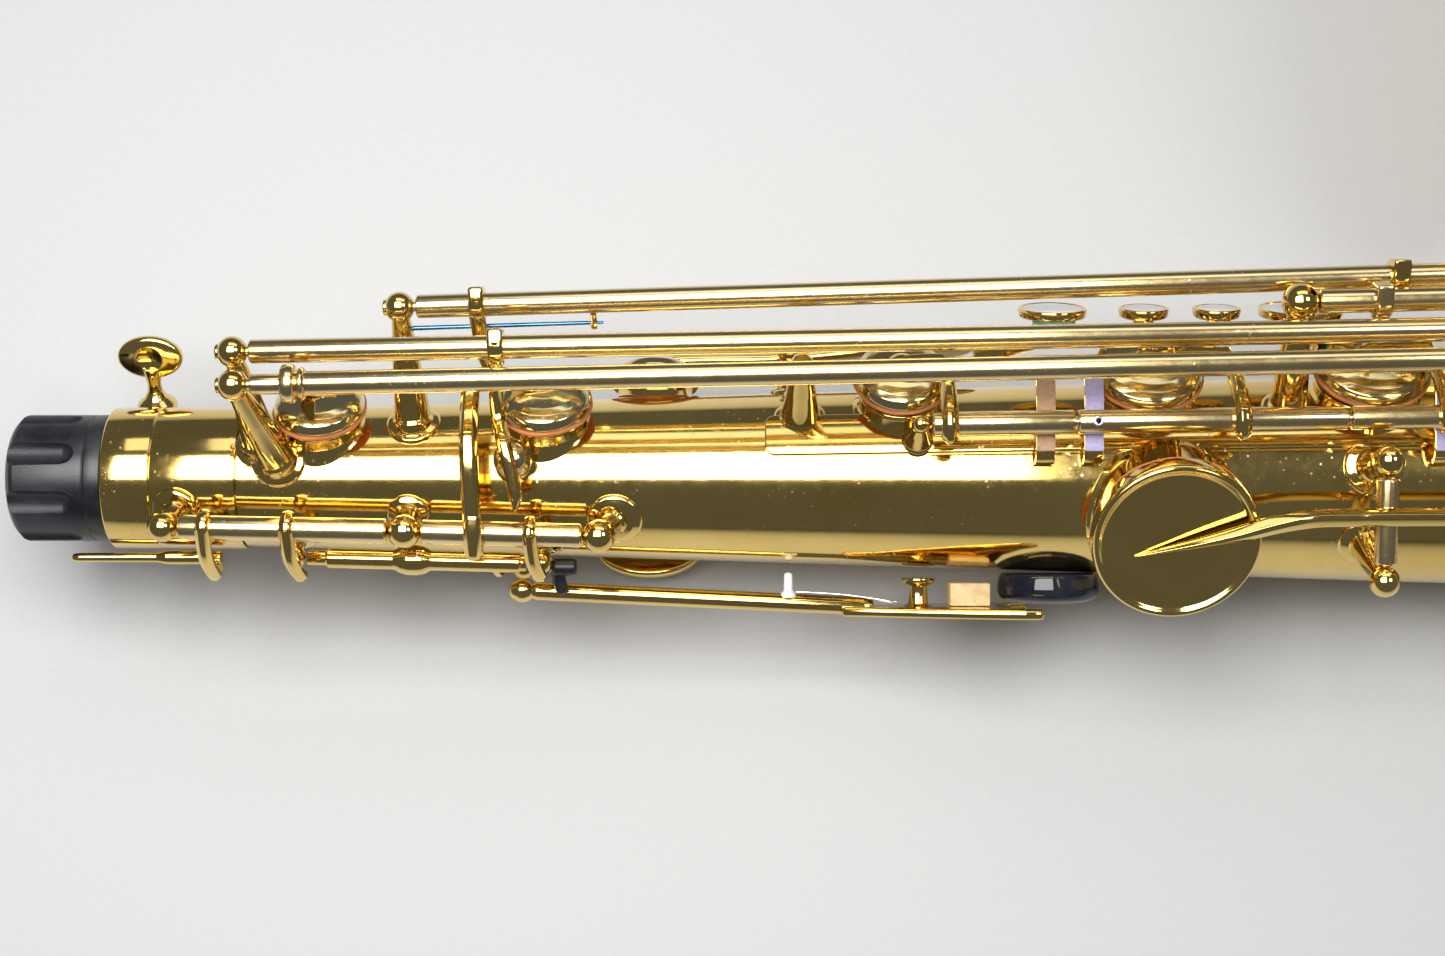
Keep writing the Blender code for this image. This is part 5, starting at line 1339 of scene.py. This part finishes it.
# %% [markdown]
# The octave mechanism decides which of the two small vents opens. A thumb lever under the tube turns a rocker;
# the rocker works the neck lever with its long pin by the socket, and a link with a square bar that reaches
# over the tube to the vent's key. Collars with crescent arms, a turned bead and a black sleeve are its small
# landmarks.

# %% Octave mechanism
def crescent(a, b, x, start, points):
    """A collar with a curved arm that hooks down behind the tube."""
    return [collar(a, b, x, 3.9, 2.6),
            strap([along(a, b, x) + start, *points], [spoke(112), spoke(128), spoke(146), spoke(160)][:len(points) + 1],
                  3.0, 2.0, KEEL, pointed)]


def octave_work():
    first, second, third = OCTAVE_ROD
    tubes = [hinge_tube(first, second, first.x + 3.6, second.x - 3.6, 2.65)]
    arms = [*crescent(first, second, 24, Vector((0, 0, 3.6)), [Vector((24, -17.4, 19.2)), Vector((24, -21.2, 11)),
                                                               Vector((22.5, -18.4, 5.2))]),
            *crescent(first, second, 41.5, Vector((0, 0, 3.6)), [Vector((42, -17.2, 20.5)), Vector((43, -21.0, 15.5)),
                                                                 Vector((43, -20.4, 12.5))]),
            lathe(Vector((24, -17.3, 4.6)), -X, [(0, 0), (0, 1.5), (12, 1.5), (14, 1.05), (31, 1.0), (32.2, 0.8),
                                                 (33, 0)], 20, 0.2)]
    piece("neck_octave_tube", "rod brass", tubes, "neck_octave_lever", [])
    piece("neck_octave_arms", "key brass", arms, "neck_octave_lever", ["neck_octave_lever"])
    tubes = [hinge_tube(second, third, second.x + 3.6, third.x - 3.6, 2.6)]
    square = [(-1, -1), (1, -1), (1, 0.2), (0.45, 1), (-0.45, 1), (-1, 0.2)]
    bar = strap([along(second, third, 81) + Vector((0, -4.4, 0.6)), along(second, third, 81) + Vector((0, -2.4, 3.6)),
                 Vector((80.6, -5, 25.9)), Vector((80.2, 5, 26.6)), Vector((80, 12, 24.4)), Vector((80, 20.6, 19.6))],
                [spoke(150), spoke(120), spoke(104), spoke(80), spoke(62), spoke(58)], 3.9, 2.6, square)
    tip = strap([Vector((81, -8, 25.7)), Vector((81, -12.6, 25.4)), Vector((81, -17.2, 23.2))],
                [spoke(104), spoke(112), spoke(126)], 3.7, 2.5, square, pointed)
    hook = crescent(second, third, 92.5, Vector((0, 0, 3.4)), [Vector((93, -17.5, 20.8)), Vector((94, -20.8, 17.2)),
                                                               Vector((94, -21.2, 14.6))])
    piece("octave_link_tube", "rod brass", tubes, "octave_link", [])
    piece("octave_link_bar", "key brass", [bar, tip, *hook], "octave_link", ["octave_link"])
    a, b = ROCKER_ROD
    tube = lathe(along(a, b, a.x + 3.0), b - a, [(0, 0), (0, 1.6), (4, 1.6), (4.4, 2.15), (18.5, 2.15), (20.0, 2.9),
                                                 (21.6, 3.25), (23.6, 3.25), (25.2, 2.9), (26.6, 2.15), (45.5, 2.15),
                                                 (45.9, 1.8), (47, 1.8), (47, 0)], 36, 0.15)
    finger = strap([along(a, b, 84), Vector((84.2, -19.6, 8.6)), Vector((84.6, -20.6, 6.0))], spoke(150), 3.0, 1.9)
    piece("octave_rocker_tube", "key brass", [tube, finger], "octave_rocker", ["octave_rocker"])
    sleeve = lathe(Vector((96.2, -19.2, 9.5)), X, [(0, 0), (0, 1.35), (0.8, 1.9), (4.9, 1.9), (5.4, 1.5), (5.4, 0)], 28,
                   0.2)
    hook = strap([Vector((97.4, -19.6, 9.2)), Vector((97.6, -22.4, 8.4)), Vector((98.4, -25.2, 7.6))],
                 [spoke(165)] * 3, 2.8, 1.9, KEEL, pointed)
    piece("octave_sleeve", "satin black", [sleeve, hook], "body", [])
    pin = lathe(Vector((92.6, -19.0, 9.5)), X, [(0, 0), (0, 1.2), (3.8, 1.2), (3.8, 0)], 20, 0.15)
    piece("octave_sleeve_pin", "key brass", [pin], "body", [])
    start, end = Vector((91, -24.6, 2.8)), Vector((166, -28.3, 0.0))
    lever = lathe(start, end - start, [(0, 0), (0, 1.5), (1.5, 2.0), ((end - start).length - 2, 2.0),
                                       ((end - start).length, 1.6), ((end - start).length, 0)], 28, 0.2)
    knob = lathe(start + (start - end).normalized() * 4.6, end - start, [(0, 0), (0, 0.9), (0.5, 1.7), (2.2, 2.6),
                 (3.4, 2.7), (4.6, 2.2), (5.4, 1.5), (5.4, 0)], 32, 0.3)
    half = [(159, 3.4), (166, 5.2), (174, 8.6), (186, 12.6), (197, 15.2), (201.4, 14.8), (202, 13.0), (198.0, 10.6),
            (194.4, 6.4), (193.2, 0)]
    outline = [Vector((px, -29.2, pz)) for px, pz in half]
    outline += [Vector((px, -29.2, -pz)) for px, pz in reversed(half[:-1])]
    touch = plate(outline, Vector((0, -1, 0)), 2.2, 0.8)
    stud = lathe(Vector((176.0, -28.2, 0)), Vector((0, 1, 0)), [(0, 0), (0, 3.4), (0.6, 2.2), (4.6, 1.9), (5.2, 3.6),
                                                                (6.2, 3.7), (6.4, 0)], 36, 0.2)
    piece("octave_thumb_lever", "key brass", [lever, knob, touch, stud], "octave_thumb_key", ["octave_thumb_key"])
    block = plate([Vector((187 + dx, -25.45, dz)) for dx, dz in ((-4.4, -4), (4.4, -4), (4.4, 4), (-4.4, 4))],
                  Vector((0, -1, 0)), 5.0, 0.35)
    piece("octave_cork_block", "cork", [block], "octave_thumb_key", ["octave_cork"])


octave_work()
print("octave mechanism made")


# %% [markdown]
# Palm keys are short see-saws on the left side. The low keys are the largest: E flat by the lower stack, C on
# the bow, B and B flat on the bell under their guards, and C sharp on the bell's left side. The G sharp key and
# the table key for the left little finger sit on the left of the tube.

# %% Palm keys and low keys
def other_keys():
    for name, (x, phi, end) in PALM_KEYS.items():
        a, b = palm_pivot(name)
        middle = (a + b) / 2
        seat = seat_of(name)
        top = cup_top(seat[0], seat[1])
        hub = lathe(a + across(phi) * 3.1, across(phi), [(0, 0), (0, 2.1), (9.8, 2.1), (9.8, 0)], 28, 0.3)
        arm = strap([top + Vector((-4.5, 0, -0.2)), top + Vector((2, 0, 0)) + spoke(phi) * 0.6,
                     top + Vector((8, 0, 0)) + spoke(phi) * 1.2, middle + spoke(phi) * 2.5, place(end - 16, phi, 12.0)],
                    spoke(phi), 4.0, 2.3)
        touch = plate(oval(place(end - 12, phi, 12.5), X, across(phi), 12.0, 7.0), spoke(phi), 2.6, 0.9)
        finish_key(name, seat, [hub], [arm, touch])
    a, b = GS_ROD
    seat = seat_of("g_sharp")
    top = cup_top(seat[0], seat[1])
    finish_key("g_sharp", seat, [hinge_tube(a, b, a.x + 3.6, b.x - 3.6)],
               [crossing_arm(a, b, 318, top, -60)], padded=False)
    soft = piece("g_sharp_leather", "pad leather", [pad_shape(*seat)], "g_sharp", [])
    a, b = TABLE_ROD
    middle = (a + b) / 2
    spot = middle + spoke(-25) * 20
    table = plate(oval(spot, X, across(-35), 13.0, 9.0), spoke(-35), 2.4, 0.9)
    arm = strap([middle, (middle + spot) / 2 + spoke(-45) * 0.8, spot], spoke(-50), 4.8, 2.3)
    piece("left_table_key", "key brass", [hinge_tube(a, b, a.x + 3.1, b.x - 3.1), arm, table], "table_key",
          ["table_key"])
    a, b = EB_ROD
    seat = seat_of("low_e_flat")
    top = cup_top(seat[0], seat[1])
    spot = along(a, b, 562) + Vector((0, 13, -3))
    arms = [crossing_arm(a, b, 577, top, 72), plate(oval(spot, X, Vector((0, 1, -0.3)), 9, 7), Vector((0, 0.3, 1)), 2.4,
                                                    0.8),
            strap([along(a, b, 562), spot], Vector((0, 0.3, 1)), 4.2, 2.1, steps=3)]
    finish_key("low_e_flat", seat, [hinge_tube(a, b, a.x + 3.6, b.x - 3.6)], arms)
    a, b = C_ROD
    seat = (Vector((700, 22, bow_radius(50) + CHIMNEY + GAP)), UP, 16.5 + CHIMNEY_WALL + 0.8)
    top = cup_top(seat[0], UP)
    touch = along(a, b, 648) + Vector((-16, 14, 8))
    arms = [crossing_arm(a, b, 700, top, 90), plate(oval(touch, X, Vector((0, 1, 0)), 11, 7), UP, 2.4, 0.8),
            strap([along(a, b, 650), along(a, b, 650) + Vector((0, 6, 7)), touch], UP, 4.2, 2.1)]
    finish_key("low_c", seat, [hinge_tube(a, b, a.x + 3.6, b.x - 3.6)], arms, (along(a, b, 700), b - a, 6.0))
    a, b = BELL_ROD
    spans = {"low_b": (a.x - 3.6, 508.4), "low_b_flat": (507.8, b.x + 3.6)}
    for name, x, radius in (("low_b", 545.0, 17.5), ("low_b_flat", 470.0, 18.5)):
        seat = (bell_place(x, CHIMNEY + GAP), UP, radius + CHIMNEY_WALL + 0.8)
        x0, x1 = spans[name]
        finish_key(name, seat, [hinge_tube(a, b, x0, x1)], [crossing_arm(a, b, x, cup_top(seat[0], UP), 90)],
                   (along(a, b, x), b - a, -6.0))
    a, b = CS_ROD
    spot = bell_place(605.0, 0)
    seat = (Vector((605.0, spot.y, -bell_radius(50) - CHIMNEY - GAP)), DOWN, 15 + CHIMNEY_WALL + 0.8)
    finish_key("low_c_sharp", seat, [hinge_tube(a, b, a.x - 3.6, b.x + 3.6)],
               [crossing_arm(a, b, 605, cup_top(seat[0], DOWN), -90)], padded=False)
    soft = piece("low_c_sharp_leather", "pad leather", [pad_shape(*seat)], "low_c_sharp", [])


other_keys()
print("palm keys and low keys made")


# %% [markdown]
# Needle springs bring the keys back. The one in plain view is blued steel, set in the far rod's post and resting
# in a small brass hook under the rod.

# %% Spring
def spring():
    start = Vector((67.8, 31.8, 16.6))
    end = start + Vector((40, 1.2, 0.6))
    wire = lathe(start, end - start, [(-0.5, 0), (-0.5, 0.5), (36, 0.42), (40, 0.3), (40, 0)], 16, 0)
    piece("needle_spring_wire", "blued steel", [wire], "body", ["needle_spring"])
    under = along(*ROD_A, 105.8)
    hook = strap([under + Vector((0, -2.0, -1.0)), under + Vector((0, -3.4, -2.6)), under + Vector((0, -4.6, -4.4)),
                  under + Vector((0, -4.2, -6.2))], X, 2.0, 1.3, FLAT, None, 4, 0.2)
    piece("spring_hook", "key brass", [hook], "high_e", [])
    stop = lathe(Vector((147.4, -26.2, 1.0)), Vector((0, 1, 0)), [(0, 0), (0, 1.9), (0.9, 1.7), (1.5, 1.0), (5.2, 0.9),
                                                                  (5.6, 0)], 28, 0.15)
    piece("octave_lever_stop", "white rubber", [stop], "octave_thumb_key")
    leaf = strap([Vector((149, -24.9, 2.2)), Vector((160, -25.6, 2.0)), Vector((171, -27.2, 2.0))], Vector((0, 1, 0)),
                 2.4, 0.45, FLAT, None, 4, 0.08)
    piece("octave_leaf_spring", "steel", [leaf], "octave_thumb_key")


spring()
